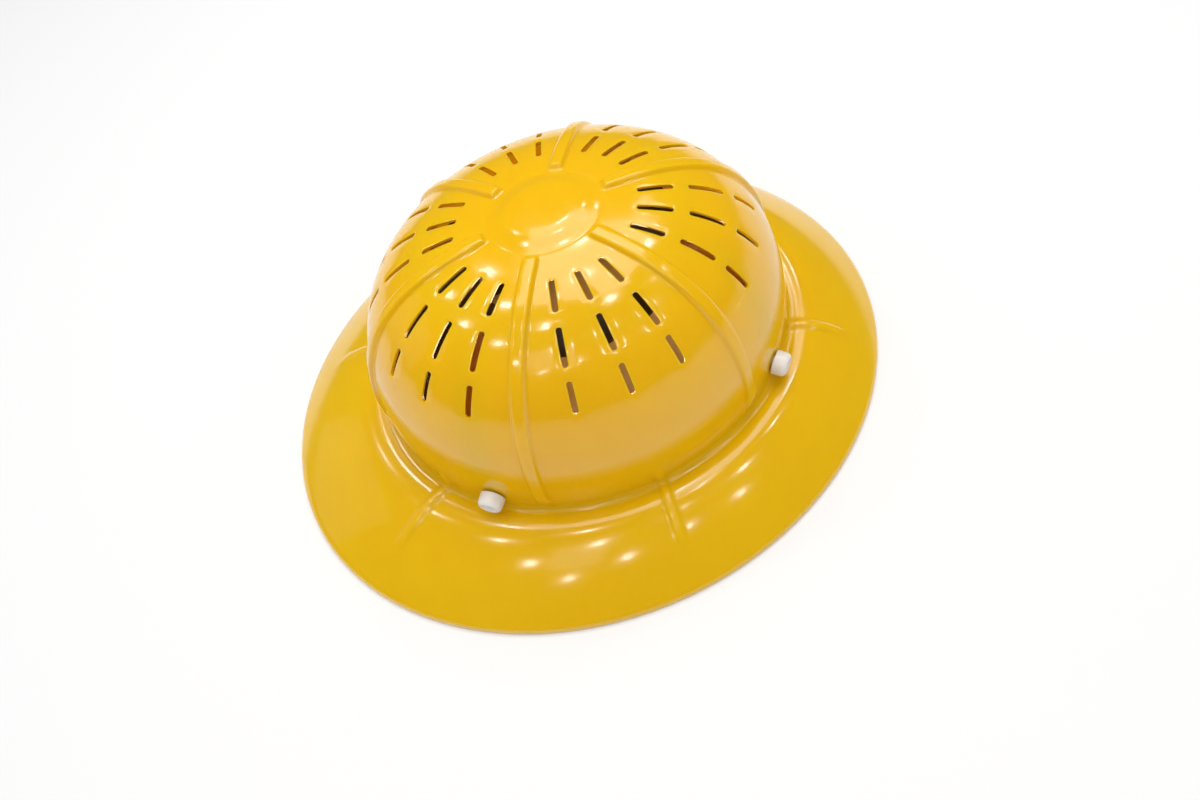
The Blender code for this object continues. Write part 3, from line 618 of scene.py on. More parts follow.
@dataclass
class HelmetShell:
    """Crown and brim in one moulding, with ribs, boss, vents and a rolled rim."""

    material: bpy.types.Material
    wall: float = 0.0020
    rib_height: float = 0.0021
    rib_top: float = 0.0024
    rib_foot: float = 0.0043
    ridge_height: float = 0.0016
    ridge_top: float = 0.0010
    ridge_foot: float = 0.0036
    ridge_end: float = 0.66
    boss_radius: float = 0.130
    boss_foot: float = 0.236
    boss_height: float = 0.0023
    crease_depth: float = 0.00015
    crease_width: float = 0.007
    rib_start: float = 0.250
    rib_run: float = 0.018
    vent_half_width: float = 0.0014
    vent_shoulder: float = 0.0006
    vent_sink: float = 0.00022
    shut_half_width: float = 0.0008
    shut_shoulder: float = 0.0014
    vent_spacing: float = math.radians(15.2)
    vent_rows: tuple[tuple[float, float], ...] = ((0.377, 0.521), (0.582, 0.724), (0.767, 0.858))
    line_radius: float = 0.033
    rim_radius: float = 0.0050
    rim_share: float = 1.03
    rim_turn: float = 50.0
    brim_swell: float = 0.0026
    brim_crest: float = 0.28
    brim_edge: float = 0.0060
    brim_fall: float = 1.6
    wall_drop: float = 0.004
    wall_foot: float = 0.0030
    sharp_degrees: float = 48.0
    rings: list[Ring] = field(default_factory=list)

    RIB_LINES = (-5.3, -4.5, -4.0, -3.5, -3.0, -2.3, -1.2, 0.0, 1.2, 2.3, 3.0, 3.5, 4.0, 4.5, 5.3)
    VENT_TURNS = (90.0, 64.0, 38.0, 14.0)
    FILL = 3
    WELD_GAP = 1e-5
    BOSS_SHARES = (0.03, 0.07, 0.11, 0.145, 0.17, 0.185, 0.197, 0.206, 0.214, 0.222, 0.230, 0.238, 0.246,
                   0.254, 0.260, 0.266, 0.272, 0.280, 0.300, 0.325, 0.350)
    BRIM_SHARES = (0.0, 0.03, 0.065, 0.105, 0.15, 0.20, 0.255, 0.315, 0.38, 0.45, 0.52, 0.58, 0.63, 0.67,
                   0.73, 0.79, 0.85, 0.90, 0.94, 0.975)
    RIDGE_LINES = (-6.0, -4.4, -3.3, -2.2, -0.9, 0.9, 2.2, 3.3, 4.4, 6.0)

    def build(self) -> bpy.types.Object:
        """Make the shell and let it stand for the CAD shell.

        Returns:
            The finished piece.
        """
        self.rings = [*self._boss_rings(), *self._vent_rings(), *self._wall_rings(), *self._brim_rings(),
                      *self._rim_rings()]
        points = self._points()
        shell = link_mesh("helmet_shell_visual", self._mesh(points))
        wall = shell.modifiers.new("wall", "SOLIDIFY")
        wall.thickness = self.wall
        wall.offset = -1.0
        bake(shell)
        smooth(shell.data, self.sharp_degrees)
        dress(shell, self.material, HELMET_BODY)
        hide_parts("helmet_shell")
        return shell

    def _boss_rings(self) -> list[Ring]:
        """Rings of the boss, its crease and the blunt starts of the ribs."""
        made = []
        for r in self.BOSS_SHARES:
            fall = ease((r - self.boss_radius) / (self.boss_foot - self.boss_radius))
            dome = self.boss_height * float(1.0 - fall)
            crease = self.crease_depth * math.exp(-((r - self.boss_foot) / self.crease_width) ** 2)
            rib = float(ease((r - self.rib_start) / self.rib_run))
            made.append(self._crown_ring(r, lift=dome - crease, rib=rib))
        return made

    def _crown_ring(self, r: float, **marks: object) -> Ring:
        """Ring of the crown at a share of its plan radius."""
        z = crown_height(r)
        return Ring(lambda angles: crown_points(angles, r, z), **marks)

    def _vent_rings(self) -> list[Ring]:
        """Rings of the three vent rows, close together round the vents' ends."""
        made = []
        for index, (first, last) in enumerate(self.vent_rows):
            per_metre = self._share_per_metre(0.5 * (first + last))
            end = self.vent_half_width * per_metre
            beyond = self.vent_shoulder * per_metre
            made.append(self._shut_ring(first - beyond))
            made += [self._vent_ring(first, per_metre, degrees) for degrees in self.VENT_TURNS]
            made += [self._vent_ring(first + end + share * (last - first - 2.0 * end), 0.0, 0.0)
                     for share in np.linspace(0.0, 1.0, 7)[1:-1]]
            made += [self._vent_ring(last, -per_metre, degrees) for degrees in reversed(self.VENT_TURNS)]
            made.append(self._shut_ring(last + beyond))
            if index + 1 < len(self.vent_rows):
                between = 0.5 * (last + self.vent_rows[index + 1][0])
                made.append(self._crown_ring(between, rib=1.0, vent=self.vent_half_width,
                                             shoulder=self.vent_half_width + self.vent_shoulder))
        return made

    def _shut_ring(self, r: float) -> Ring:
        """Plain ring just past the vents' ends."""
        return self._crown_ring(r, rib=1.0, vent=self.shut_half_width, shoulder=self.shut_shoulder)

    def _vent_ring(self, r: float, per_metre: float, degrees: float) -> Ring:
        """Ring across open vents, narrower towards their round ends.

        Args:
            r: Share of the plan radius at the vent's tip, or of the ring where per_metre is 0.
            per_metre: Plan share for a metre inwards from the tip, negative at the outer tip.
            degrees: Turn round the end, 90 at the tip and 0 where the sides are straight.

        Returns:
            The ring.
        """
        half = self.vent_half_width
        outer = half + self.vent_shoulder
        turn = math.radians(degrees)
        return self._crown_ring(
            r + half * (1.0 - math.sin(turn)) * per_metre, rib=1.0, vent=half * math.cos(turn),
            shoulder=math.sqrt(outer ** 2 - (half * math.sin(turn)) ** 2), sunk=self.vent_sink,
            open_below=not (degrees == self.VENT_TURNS[0] and per_metre < 0.0))

    def _share_per_metre(self, r: float) -> float:
        """Step in plan share for a metre along the crown's slope."""
        step = 0.001
        rise = crown_height(r + step) - crown_height(r)
        return step / math.hypot(step * CROWN_HALF_LENGTH * 0.5 * (1.0 + CROWN_ASPECT), rise)

    def _wall_rings(self) -> list[Ring]:
        """Rings of the crown's wall and of the fillet at its root."""
        made = []
        top = crown_height(self.vent_rows[-1][1]) - self.wall_drop
        for z in np.linspace(top, self.wall_foot, 13):
            r = crown_radius(float(z))
            done = float(ease((top - z) / top))
            made.append(Ring(
                lambda angles, r=r, z=float(z): crown_points(angles, r, z), brimward=done,
                rib=float(1.0 - ease((0.010 - z) / 0.008)), ridge=float(ease((0.012 - z) / 0.010))))
        for degrees in (0.0, 15.0, 30.0, 45.0, 60.0, 75.0):
            turn = math.radians(degrees)
            out = ROOT_FILLET * (1.0 - math.cos(turn))
            z = ROOT_FILLET * (1.0 - math.sin(turn)) - ROOT_GROOVE
            made.append(Ring(
                lambda angles, out=out, z=z: self._brim_points(angles, out, 0.0, z), brimward=1.0,
                rib=max(0.0, 0.12 - degrees / 300.0), ridge=1.0))
        return made

    @staticmethod
    def _brim_points(angles: np.ndarray, out: float, share: float, z: float,
                     beyond: float = 0.0) -> np.ndarray:
        """Points of one ring of the brim.

        Args:
            angles: Angles from the front towards +X, in radians.
            out: Metres from the root.
            share: Share of what is left up to the rim.
            z: Height above the crown's root.
            beyond: Step outwards from there, square to the rim.

        Returns:
            One point for each angle.
        """
        root = crown_points(angles, 1.0, 0.0)
        edge = np.stack([BRIM_HALF_WIDTH * np.sin(angles), -BRIM_HALF_LENGTH * np.cos(angles),
                         np.full_like(angles, CROWN.z)], axis=-1)
        span = edge - root
        length = np.linalg.norm(span, axis=-1, keepdims=True)
        spot = root + span / length * (out + share * (length - out - BRIM_MARGIN))
        square = np.stack([BRIM_HALF_LENGTH * np.sin(angles), -BRIM_HALF_WIDTH * np.cos(angles),
                           np.zeros_like(angles)], axis=-1)
        spot = spot + square / np.linalg.norm(square, axis=-1, keepdims=True) * beyond
        spot[:, 2] = CROWN.z + z
        return spot

    def _brim_rings(self) -> list[Ring]:
        """Rings of the brim, which swells, then falls away to the rim."""
        made = []
        for share in self.BRIM_SHARES:
            z = self._brim_height(share)
            made.append(Ring(
                lambda angles, share=share, z=z: self._brim_points(angles, ROOT_FILLET, share, z),
                brimward=1.0, ridge=max(0.0, 1.0 - (share / self.ridge_end) ** 4)))
        return made

    def _brim_height(self, share: float) -> float:
        """Height of the brim's top above the crown's root."""
        crest = 1.0 - (1.0 - min(share, self.brim_crest) / self.brim_crest) ** 2
        drop = CROWN.z - ROOT_GROOVE + self.brim_swell - self.brim_edge
        return self.brim_swell * crest - ROOT_GROOVE - drop * share ** self.brim_fall

    def _rim_rings(self) -> list[Ring]:
        """Rings of the rim, rolled over and down to where the shell stands."""
        made = []
        radius = self.rim_radius
        first = math.radians(self.rim_turn)
        start = self._brim_height(self.rim_share)
        foot = radius * (1.0 - math.cos(first))
        for share in np.linspace(1.0, 0.0, 7):
            turn = first * float(share)
            beyond = radius * (math.cos(turn) - math.cos(first))
            z = start + radius * (math.sin(turn) - math.sin(first))
            made.append(Ring(
                lambda angles, beyond=beyond, z=z: self._brim_points(
                    angles, ROOT_FILLET, self.rim_share, z, beyond), brimward=1.0))
        made.append(Ring(
            lambda angles: self._brim_points(angles, ROOT_FILLET, self.rim_share, -CROWN.z, foot),
            brimward=1.0))
        return made

    def _columns(self, ring: Ring, middle: float) -> tuple[list[float], list[str], list[float]]:
        """Angles of one panel's lines, rib first.

        Args:
            ring: The ring that the lines cross.
            middle: Angle of the panel's middle.

        Returns:
            The angles, each line's kind, and each line's metric distance from its feature.
        """
        rib_at = middle - 0.5 * PITCH
        step = 0.01
        around = ring.spot(np.array([middle - step, middle + step, rib_at - step, rib_at + step]))
        at_middle = 1.0 / max(np.linalg.norm(around[1] - around[0]) / (2 * step), self.line_radius)
        at_rib = 1.0 / max(np.linalg.norm(around[3] - around[2]) / (2 * step), self.line_radius)
        spread = 1.0 + 0.9 * ring.brimward * (1.0 - min(1.0, ring.rib * 3.0))
        angles = [rib_at + x * MM * at_rib * spread for x in self.RIB_LINES]
        kinds = ["rib"] * len(self.RIB_LINES)
        offsets = [x * MM * spread for x in self.RIB_LINES]
        crown: list[float] = []
        last = angles[-1]
        marks: list[str] = []
        for turn in (-self.vent_spacing, 0.0, self.vent_spacing):
            lines = [middle + turn + x * at_middle
                     for x in (-ring.shoulder, -ring.vent, ring.vent, ring.shoulder)]
            crown += [last + (lines[0] - last) * k / (self.FILL + 1) for k in range(1, self.FILL + 1)]
            crown += lines
            marks += ["fill"] * self.FILL + ["shoulder", "vent", "vent_end", "shoulder"]
            last = lines[-1]
        tail = rib_at + PITCH + self.RIB_LINES[0] * MM * at_rib * spread
        crown += [last + (tail - last) * k / (self.FILL + 1) for k in range(1, self.FILL + 1)]
        marks += ["fill"] * self.FILL
        ridge = [middle + x * MM * at_middle for x in self.RIDGE_LINES]
        side = (len(crown) - len(ridge)) // 2
        brim = [angles[-1] + (ridge[0] - angles[-1]) * k / (side + 1) for k in range(1, side + 1)]
        brim += ridge
        brim += [ridge[-1] + (tail - ridge[-1]) * k / (side + 1) for k in range(1, side + 1)]
        mixed = [a + ring.brimward * (b - a) for a, b in zip(crown, brim)]
        angles += mixed
        kinds += marks
        offsets += [(angle - middle) / at_middle for angle in mixed]
        return angles, kinds, offsets

    def _points(self) -> np.ndarray:
        """Every point of the outer skin, ring by ring, with all relief raised."""
        base = []
        lifts = []
        for ring in self.rings:
            angles: list[float] = []
            lift: list[float] = []
            for panel in range(PANELS):
                some, kinds, offsets = self._columns(ring, (panel + 0.5) * PITCH)
                angles += some
                lift += [self._lift(ring, kind, offset) for kind, offset in zip(kinds, offsets)]
            base.append(ring.spot(np.array(angles)))
            lifts.append(lift)
        skin = np.array(base)
        down = np.gradient(skin, axis=0)
        along = np.roll(skin, -2, axis=1) - np.roll(skin, 2, axis=1)
        normals = np.cross(down, along)
        normals /= np.linalg.norm(normals, axis=-1, keepdims=True)
        return skin + normals * np.array(lifts)[..., None]

    def _lift(self, ring: Ring, kind: str, offset: float) -> float:
        """Height that relief gives one point above the plain skin."""
        if kind == "rib":
            flank = float(1.0 - ease((abs(offset) - self.rib_top) / (self.rib_foot - self.rib_top)))
            return ring.lift + self.rib_height * ring.rib * flank
        raised = ring.lift
        if ring.ridge > 0.0:
            flank = float(1.0 - ease((abs(offset) - self.ridge_top) / (self.ridge_foot - self.ridge_top)))
            raised += self.ridge_height * ring.ridge * flank
        if kind in ("vent", "vent_end"):
            raised -= ring.sunk
        return raised

    def _mesh(self, points: np.ndarray) -> bpy.types.Mesh:
        """Join the skin's points into faces, leaving the vents open.

        Args:
            points: Rings by columns by coordinates.

        Returns:
            The open outer skin.
        """
        _, kinds, _ = self._columns(self.rings[0], 0.5 * PITCH)
        kinds = kinds * PANELS
        bm = bmesh.new()
        grid = [[bm.verts.new(point) for point in ring] for ring in points]
        count = len(grid[0])
        top = crown_points(np.zeros(1), 0.0, CROWN_RISE + self.boss_height)[0]
        pole = bm.verts.new(top)
        for k in range(count):
            bm.faces.new((pole, grid[0][k], grid[0][(k + 1) % count]))
        for ring, upper, lower in zip(self.rings, grid, grid[1:]):
            for k in range(count):
                if ring.open_below and kinds[k] == "vent":
                    continue
                after = (k + 1) % count
                bm.faces.new((upper[k], lower[k], lower[after], upper[after]))
        bmesh.ops.remove_doubles(bm, verts=bm.verts[:], dist=self.WELD_GAP)
        mesh = bpy.data.meshes.new("helmet_shell_visual")
        bm.to_mesh(mesh)
        bm.free()
        return mesh


# ------------------------------------------------------------------ node-built repeats

class Builders:
    """Geometry node trees that set repeated pieces out, each built once."""

    def __init__(self) -> None:
        """Build every tree."""
        self.placed = self._placed()
        self.stitched = self._stitched()
        self.perforated = self._perforated()

    @staticmethod
    def _placed() -> bpy.types.NodeTree:
        """Copies of a piece on points that carry a turn."""
        tree, given, out = new_group(
            "placed_copies", "GeometryNodeTree",
            {"Geometry": (GEOMETRY, None), "Piece": (OBJECT, None), "Size": (FLOAT, 1.0),
             "Twist": (FLOAT, 0.25), "Seed": ("NodeSocketInt", 3), "Finish": (MATERIAL, None)},
            {"Geometry": GEOMETRY})
        piece = tree.add("GeometryNodeObjectInfo", {"Object": given["Piece"]}, transform_space="ORIGINAL")
        turn = tree.add("GeometryNodeInputNamedAttribute", {"Name": "turn"}, data_type="FLOAT_VECTOR")
        set_out = tree.add("GeometryNodeInstanceOnPoints", {
            "Points": given["Geometry"], "Instance": piece.outputs["Geometry"],
            "Rotation": turn.outputs["Attribute"], "Scale": given["Size"]})
        low = tree.times(given["Twist"], -1.0)
        angle = tree.add("FunctionNodeRandomValue", {"Seed": given["Seed"]}, data_type="FLOAT")
        tree.feed(socket_of(angle.inputs, "Min_001"), low)
        tree.feed(socket_of(angle.inputs, "Max_001"), given["Twist"])
        spin = tree.add("ShaderNodeCombineXYZ", {"Z": socket_of(angle.outputs, "Value_001")})
        turned = tree.add("GeometryNodeRotateInstances", {
            "Instances": set_out.outputs["Instances"], "Rotation": spin.outputs[0]})
        return Builders._closed(tree, turned.outputs[0], given, out)

    @staticmethod
    def _stitched() -> bpy.types.NodeTree:
        """Stitches at an even pitch along edges."""
        tree, given, out = new_group(
            "stitched_path", "GeometryNodeTree",
            {"Geometry": (GEOMETRY, None), "Pitch": (FLOAT, 0.0042), "Thread": (FLOAT, 0.00045),
             "Length": (FLOAT, 0.0030), "Slant": (FLOAT, 0.12), "Finish": (MATERIAL, None)},
            {"Geometry": GEOMETRY})
        path = tree.add("GeometryNodeMeshToCurve", {"Mesh": given["Geometry"]})
        spaced = tree.add("GeometryNodeResampleCurve", {
            "Curve": path.outputs[0], "Length": given["Pitch"]}, mode="LENGTH")
        tangent = tree.add("GeometryNodeInputTangent")
        lay = tree.add("FunctionNodeAlignRotationToVector", {"Vector": tangent.outputs[0]}, axis="Z")
        ball = tree.add("GeometryNodeMeshUVSphere", {"Segments": 6, "Rings": 5, "Radius": given["Thread"]})
        stitch = tree.add("GeometryNodeSetShadeSmooth", {0: ball.outputs["Mesh"]})
        ratio = tree.math("DIVIDE", tree.times(given["Length"], 0.5), given["Thread"])
        stretch = tree.add("ShaderNodeCombineXYZ", {"X": 1.0, "Y": 1.0, "Z": ratio})
        set_out = tree.add("GeometryNodeInstanceOnPoints", {
            "Points": spaced.outputs[0], "Instance": stitch.outputs[0], "Rotation": lay.outputs[0],
            "Scale": stretch.outputs[0]})
        slant = tree.add("ShaderNodeCombineXYZ", {"X": given["Slant"]})
        leaned = tree.add("GeometryNodeRotateInstances", {
            "Instances": set_out.outputs["Instances"], "Rotation": slant.outputs[0]})
        return Builders._closed(tree, leaned.outputs[0], given, out)

    @staticmethod
    def _perforated() -> bpy.types.NodeTree:
        """Holes cut through a piece where points say."""
        tree, given, out = new_group(
            "perforated_piece", "GeometryNodeTree",
            {"Geometry": (GEOMETRY, None), "Places": (OBJECT, None), "Radius": (FLOAT, 0.0016),
             "Depth": (FLOAT, 0.006), "Finish": (MATERIAL, None)},
            {"Geometry": GEOMETRY})
        places = tree.add("GeometryNodeObjectInfo", {"Object": given["Places"]}, transform_space="ORIGINAL")
        turn = tree.add("GeometryNodeInputNamedAttribute", {"Name": "turn"}, data_type="FLOAT_VECTOR")
        punch = tree.add("GeometryNodeMeshCylinder", {
            "Vertices": 16, "Radius": given["Radius"], "Depth": given["Depth"]})
        set_out = tree.add("GeometryNodeInstanceOnPoints", {
            "Points": places.outputs["Geometry"], "Instance": punch.outputs["Mesh"],
            "Rotation": turn.outputs["Attribute"]})
        plain = tree.add("GeometryNodeRealizeInstances", {0: set_out.outputs["Instances"]})
        cut = tree.add("GeometryNodeMeshBoolean", operation="DIFFERENCE", solver="EXACT")
        tree.feed(cut.inputs["Mesh 1"], given["Geometry"])
        tree.feed(cut.inputs["Mesh 2"], plain.outputs[0])
        return Builders._closed(tree, cut.outputs["Mesh"], given, out)

    @staticmethod
    def _closed(tree: Tree, geometry: bpy.types.NodeSocket, given: Sequence[bpy.types.NodeSocket],
                out: Sequence[bpy.types.NodeSocket]) -> bpy.types.NodeTree:
        """End a tree with Realize Instances and Set Material.

        Args:
            tree: The tree to end.
            geometry: What it has made so far.
            given: The tree's inputs, which hold the finish.
            out: The tree's outputs.

        Returns:
            The finished node tree.
        """
        plain = tree.add("GeometryNodeRealizeInstances", {0: geometry})
        painted = tree.add("GeometryNodeSetMaterial", {
            "Geometry": plain.outputs[0], "Material": given["Finish"]})
        tree.feed(out["Geometry"], painted.outputs[0])
        return tree.tree

    @staticmethod
    def run(base: bpy.types.Mesh, tree: bpy.types.NodeTree, name: str,
            inputs: dict[str, object]) -> bpy.types.Object:
        """Run a tree on a mesh and keep what it makes as a plain piece.

        Args:
            base: Mesh that the tree starts from.
            tree: The geometry node tree.
            name: Name of the piece.
            inputs: Named inputs of the tree.

        Returns:
            The linked piece, with no modifier left.
        """
        piece = link_mesh(name, base)
        nodes = piece.modifiers.new(tree.name, "NODES")
        nodes.node_group = tree
        for item in tree.interface.items_tree:
            if item.item_type == "SOCKET" and item.in_out == "INPUT" and item.name in inputs:
                nodes[item.identifier] = inputs[item.name]
        bake(piece)
        piece.data.name = name
        return piece


def turned_points(places: Sequence[Matrix], name: str) -> bpy.types.Mesh:
    """Mesh of single points, each with the turn of its place.

    Args:
        places: World matrices, local Z outwards.
        name: Name of the mesh.

    Returns:
        Points with a "turn" attribute in radians.
    """
    mesh = bpy.data.meshes.new(name)
    mesh.from_pydata([place.translation for place in places], [], [])
    turn = mesh.attributes.new("turn", "FLOAT_VECTOR", "POINT")
    for k, place in enumerate(places):
        turn.data[k].vector = place.to_euler()
    return mesh


def place_along(point: Vector, axis: Vector, upright: Vector) -> Matrix:
    """Matrix with local Z along an axis and local Y near an upright direction."""
    side = upright.cross(axis).normalized()
    turned = Matrix((side, axis.cross(side), axis)).transposed().to_4x4()
    turned.translation = point
    return turned


# ------------------------------------------------------------------ studs, washers and rivets

class Corner(Enum):
    """The four studs, as (side, end): +1 is the wearer's left and the back."""

    FRONT_LEFT = (1, -1)
    FRONT_RIGHT = (-1, -1)
    REAR_LEFT = (1, 1)
    REAR_RIGHT = (-1, 1)

    @property
    def tag(self) -> str:
        """Corner's name as the frame's nodes spell it."""
        return self.name.lower()


@dataclass
class Fastenings:
    """Studs, washers and rivets, each kind one piece set out by nodes."""

    effects: Effects
    builders: Builders
    stud_angle: float = math.radians(46.7)
    stud_height: float = 0.0085
    ring_height: float = 0.0745
    ring_slope: float = 0.18
    rivet_depth: float = 0.056
    strap_thickness: float = 0.0014
    ring_half_thickness: float = 0.0010
    gap: float = 0.0003
    rivet_height: float = -0.0085
    rivet_y: float = 0.040
    twist: float = 0.2
    seed: int = 5

    STUD = ((0.0, 0.0060), (0.0016, 0.0060), (0.0030, 0.0063), (0.0040, 0.0076), (0.0046, 0.0080),
            (0.0054, 0.0078), (0.0062, 0.0068), (0.0065, 0.0052), (0.0066, 0.0010), (0.0063, 0.0006),
            (0.0028, 0.0006), (0.0028, -0.0095), (0.0036, -0.0098), (0.0030, -0.0110), (0.0, -0.0112))
    WASHER = ((0.0031, -0.0072), (0.0050, -0.0072), (0.0058, -0.0073), (0.0060, -0.0077), (0.0060, -0.0088),
              (0.0057, -0.0092), (0.0044, -0.0092), (0.0040, -0.0088), (0.0031, -0.0088))
    DISH = ((0.0, 0.00625), (0.0028, 0.00625), (0.0033, 0.0066), (0.0032, 0.0056), (0.0, 0.0056))

    def normal(self, corner: Corner) -> Vector:
        """Outward direction of the crown wall at a stud."""
        side, end = corner.value
        out = Vector((side * math.sin(self.stud_angle) / CROWN_ASPECT, end * math.cos(self.stud_angle), 0.0))
        return out.normalized()

    def centre(self, corner: Corner) -> Vector:
        """Point of the wall's outer face on a stud's axis."""
        side, end = corner.value
        reach = CROWN_HALF_LENGTH * crown_radius(self.stud_height)
        return CROWN + Vector((side * reach * CROWN_ASPECT * math.sin(self.stud_angle),
                               end * reach * math.cos(self.stud_angle), self.stud_height))

    def stud_place(self, corner: Corner) -> Matrix:
        """Frame of a stud, local Z outwards."""
        return place_along(self.centre(corner), self.normal(corner), UP)

    def ring_place(self, corner: Corner) -> Matrix:
        """Frame of a crown ring rivet, local Z up."""
        rise = self.ring_half_thickness + 0.5 * self.strap_thickness + self.gap
        spot = self.centre(corner) - self.normal(corner) * self.rivet_depth
        spot.z = CROWN.z + self.ring_height + rise
        axis = (UP + self.normal(corner) * self.ring_slope).normalized()
        return place_along(spot + axis * 0.5 * self.strap_thickness, axis, self.normal(corner))

    def hanger_place(self, corner: Corner) -> Matrix:
        """Frame of a hanger rivet, local Z outwards."""
        side, end = corner.value
        x = BAND_HALF_WIDTH + BAND_HALF_THICKNESS + self.gap + self.strap_thickness
        spot = CROWN + Vector((side * x, end * self.rivet_y, self.rivet_height))
        return place_along(spot, Vector((side, 0.0, 0.0)), UP)

    def build(self) -> None:
        """Make every fastening."""
        white = STUD_WHITE.material(self.effects)
        # Painted shade for the studs' dished recesses.
        dish_shade = DISH_PAINTED_SHADE.material(self.effects)
        nickel = RIVET_NICKEL.material(self.effects)
        studs = [self.stud_place(corner) for corner in Corner]
        rings = [self.ring_place(corner) for corner in Corner]
        hangers = [self.hanger_place(corner) for corner in Corner]
        self._set_out("studs_visual", rounded(self.STUD, 0.0006, 3), 32, studs, white, "stud")
        # Painted shade: a grey disc set into each stud's dished recess.
        self._set_out("stud_dishes", rounded(self.DISH, 0.0002, 2), 28, studs, dish_shade)
        self._set_out("stud_washers_visual", self.WASHER, 28, studs, white, "stud_washer")
        self._set_out("ring_rivets_visual", rounded(self._rivet(0.0040), 0.0004, 3), 24, rings, nickel,
                      "ring_rivet")
        self._set_out("hanger_rivets_visual", rounded(self._rivet(0.0038), 0.0004, 3), 24, hangers, nickel,
                      "hanger_rivet")

    def _set_out(self, name: str, profile: Sequence[tuple[float, float]], segments: int,
                 places: Sequence[Matrix], material: bpy.types.Material, node: str = "") -> None:
        """Turn a profile and set copies of it out at places, as one piece.

        Args:
            name: Name of the piece.
            profile: (radius, height) points of one copy.
            segments: Faces round each copy.
            places: World matrices of the copies.
            material: Finish of the copies.
            node: What the CAD nodes that the copies stand for are called, before the corner.
        """
        pattern = link_mesh(f"{name}_pattern", lathe(profile, segments, f"{name}_pattern"))
        piece = self.builders.run(turned_points(places, f"{name}_places"), self.builders.placed, name, {
            "Piece": pattern, "Finish": material, "Size": 1.0, "Twist": self.twist, "Seed": self.seed})
        bpy.data.objects.remove(pattern)
        dress(piece, material, HELMET_BODY)
        if node:
            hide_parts(*[f"{node}_{corner.tag}" for corner in Corner])

    @staticmethod
    def _rivet(tail: float) -> list[tuple[float, float]]:
        """Profile of a tubular rivet with a dimpled head and a rolled tail."""
        return [(0.0, 0.0012), (0.0012, 0.0012), (0.0018, 0.0015), (0.0029, 0.0013), (0.0038, 0.0008),
                (0.0040, 0.0003), (0.0018, 0.0003), (0.0018, 0.0003 - tail), (0.0027, 0.0002 - tail),
                (0.0027, -0.0005 - tail), (0.0018, -0.0009 - tail), (0.0009, -0.0006 - tail),
                (0.0, -0.0003 - tail)]


# ------------------------------------------------------------------ straps and bands

@dataclass
class Harness:
    """Amber straps, charcoal bands and the two keepers."""

    effects: Effects
    builders: Builders
    strap_ease: float = 0.00035
    ring_ease: float = 0.0005
    keeper_ease: float = 0.0004
    band_ease: float = 0.0003
    punch_depth: float = 0.0050
    brow_hole_radius: float = 0.0017
    brow_hole_pitch: float = math.radians(9.0)
    brow_hole_height: float = -0.0065
    brow_arc_y: float = -0.050
    brow_arc_reach: float = 0.053
    brow_arc_power: float = 2.0 / 2.1
    nape_hole_radius: float = 0.0016
    nape_hole_pitch: float = 0.0065
    nape_hole_start: tuple[float, float, float] = (0.0757, 0.0005, -0.0195)

    def build(self) -> None:
        """Make the harness."""
        amber = STRAP_AMBER.material(self.effects)
        charcoal = BAND_CHARCOAL.material(self.effects)
        for corner in Corner:
            for kind in ("crown_strap", "hanger"):
                self._copy(f"{kind}_{corner.tag}", amber, "strap", self.strap_ease)
        self._copy("crown_ring", charcoal, "band", self.ring_ease)
        self._punched("brow_band", charcoal, HELMET_BODY, self._brow_holes(), self.brow_hole_radius)
        self._punched("nape_band", charcoal, NAPE_BODY, self._nape_holes(), self.nape_hole_radius)
        for side in ("left", "right"):
            self._copy(f"keeper_{side}", charcoal, "band", self.keeper_ease)

    @staticmethod
    def _copy(node: str, material: bpy.types.Material, slot: str, ease_width: float) -> None:
        """Remake a CAD node of the helmet body with eased edges.

        Args:
            node: Name of the CAD node.
            material: Its finish.
            slot: Not used.
            ease_width: Width of the rounding.
        """
        piece = link_mesh(f"{node}_visual", mesh_from(merged_copy(node), f"{node}_visual"))
        add_bevel(piece, ease_width)
        dress(piece, material, HELMET_BODY)
        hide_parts(node)

    def _punched(self, node: str, material: bpy.types.Material, body: str, holes: Sequence[Matrix],
                 radius: float) -> None:
        """Remake a band with a row of holes punched through it.

        Args:
            node: Name of the CAD node.
            material: Its finish.
            body: Body it rides on.
            holes: World matrices of the holes, local Z through the band.
            radius: Radius of a hole.
        """
        name = f"{node}_visual"
        places = link_mesh(f"{name}_places", turned_points(holes, f"{name}_places"))
        piece = self.builders.run(mesh_from(merged_copy(node), name), self.builders.perforated, name, {
            "Places": places, "Radius": radius, "Depth": self.punch_depth, "Finish": material})
        bpy.data.objects.remove(places)
        smooth(piece.data)
        add_bevel(piece, self.band_ease)
        dress(piece, material, body)
        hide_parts(node)

    def _brow_holes(self) -> list[Matrix]:
        """Vent holes round the front of the brow band."""
        made = []
        for k in range(-6, 7):
            turn = self.brow_hole_pitch * k
            across = math.copysign(abs(math.sin(turn)) ** self.brow_arc_power, math.sin(turn))
            x = BAND_HALF_WIDTH * across
            y = self.brow_arc_y - self.brow_arc_reach * math.cos(turn) ** self.brow_arc_power
            axis = Vector((math.sin(turn) / BAND_HALF_WIDTH, -math.cos(turn) / self.brow_arc_reach, 0.0))
            spot = CROWN + Vector((x, y, self.brow_hole_height))
            made.append(place_along(spot, axis.normalized(), UP))
        return made

    def _nape_holes(self) -> list[Matrix]:
        """Adjusting holes along both legs of the nape band."""
        made = []
        x, y, z = self.nape_hole_start
        for side in (-1.0, 1.0):
            for k in range(6):
                spot = CROWN + Vector((side * x, y + self.nape_hole_pitch * k, z))
                made.append(place_along(spot, Vector((side, 0.0, 0.0)), UP))
        return made


# ------------------------------------------------------------------ pads

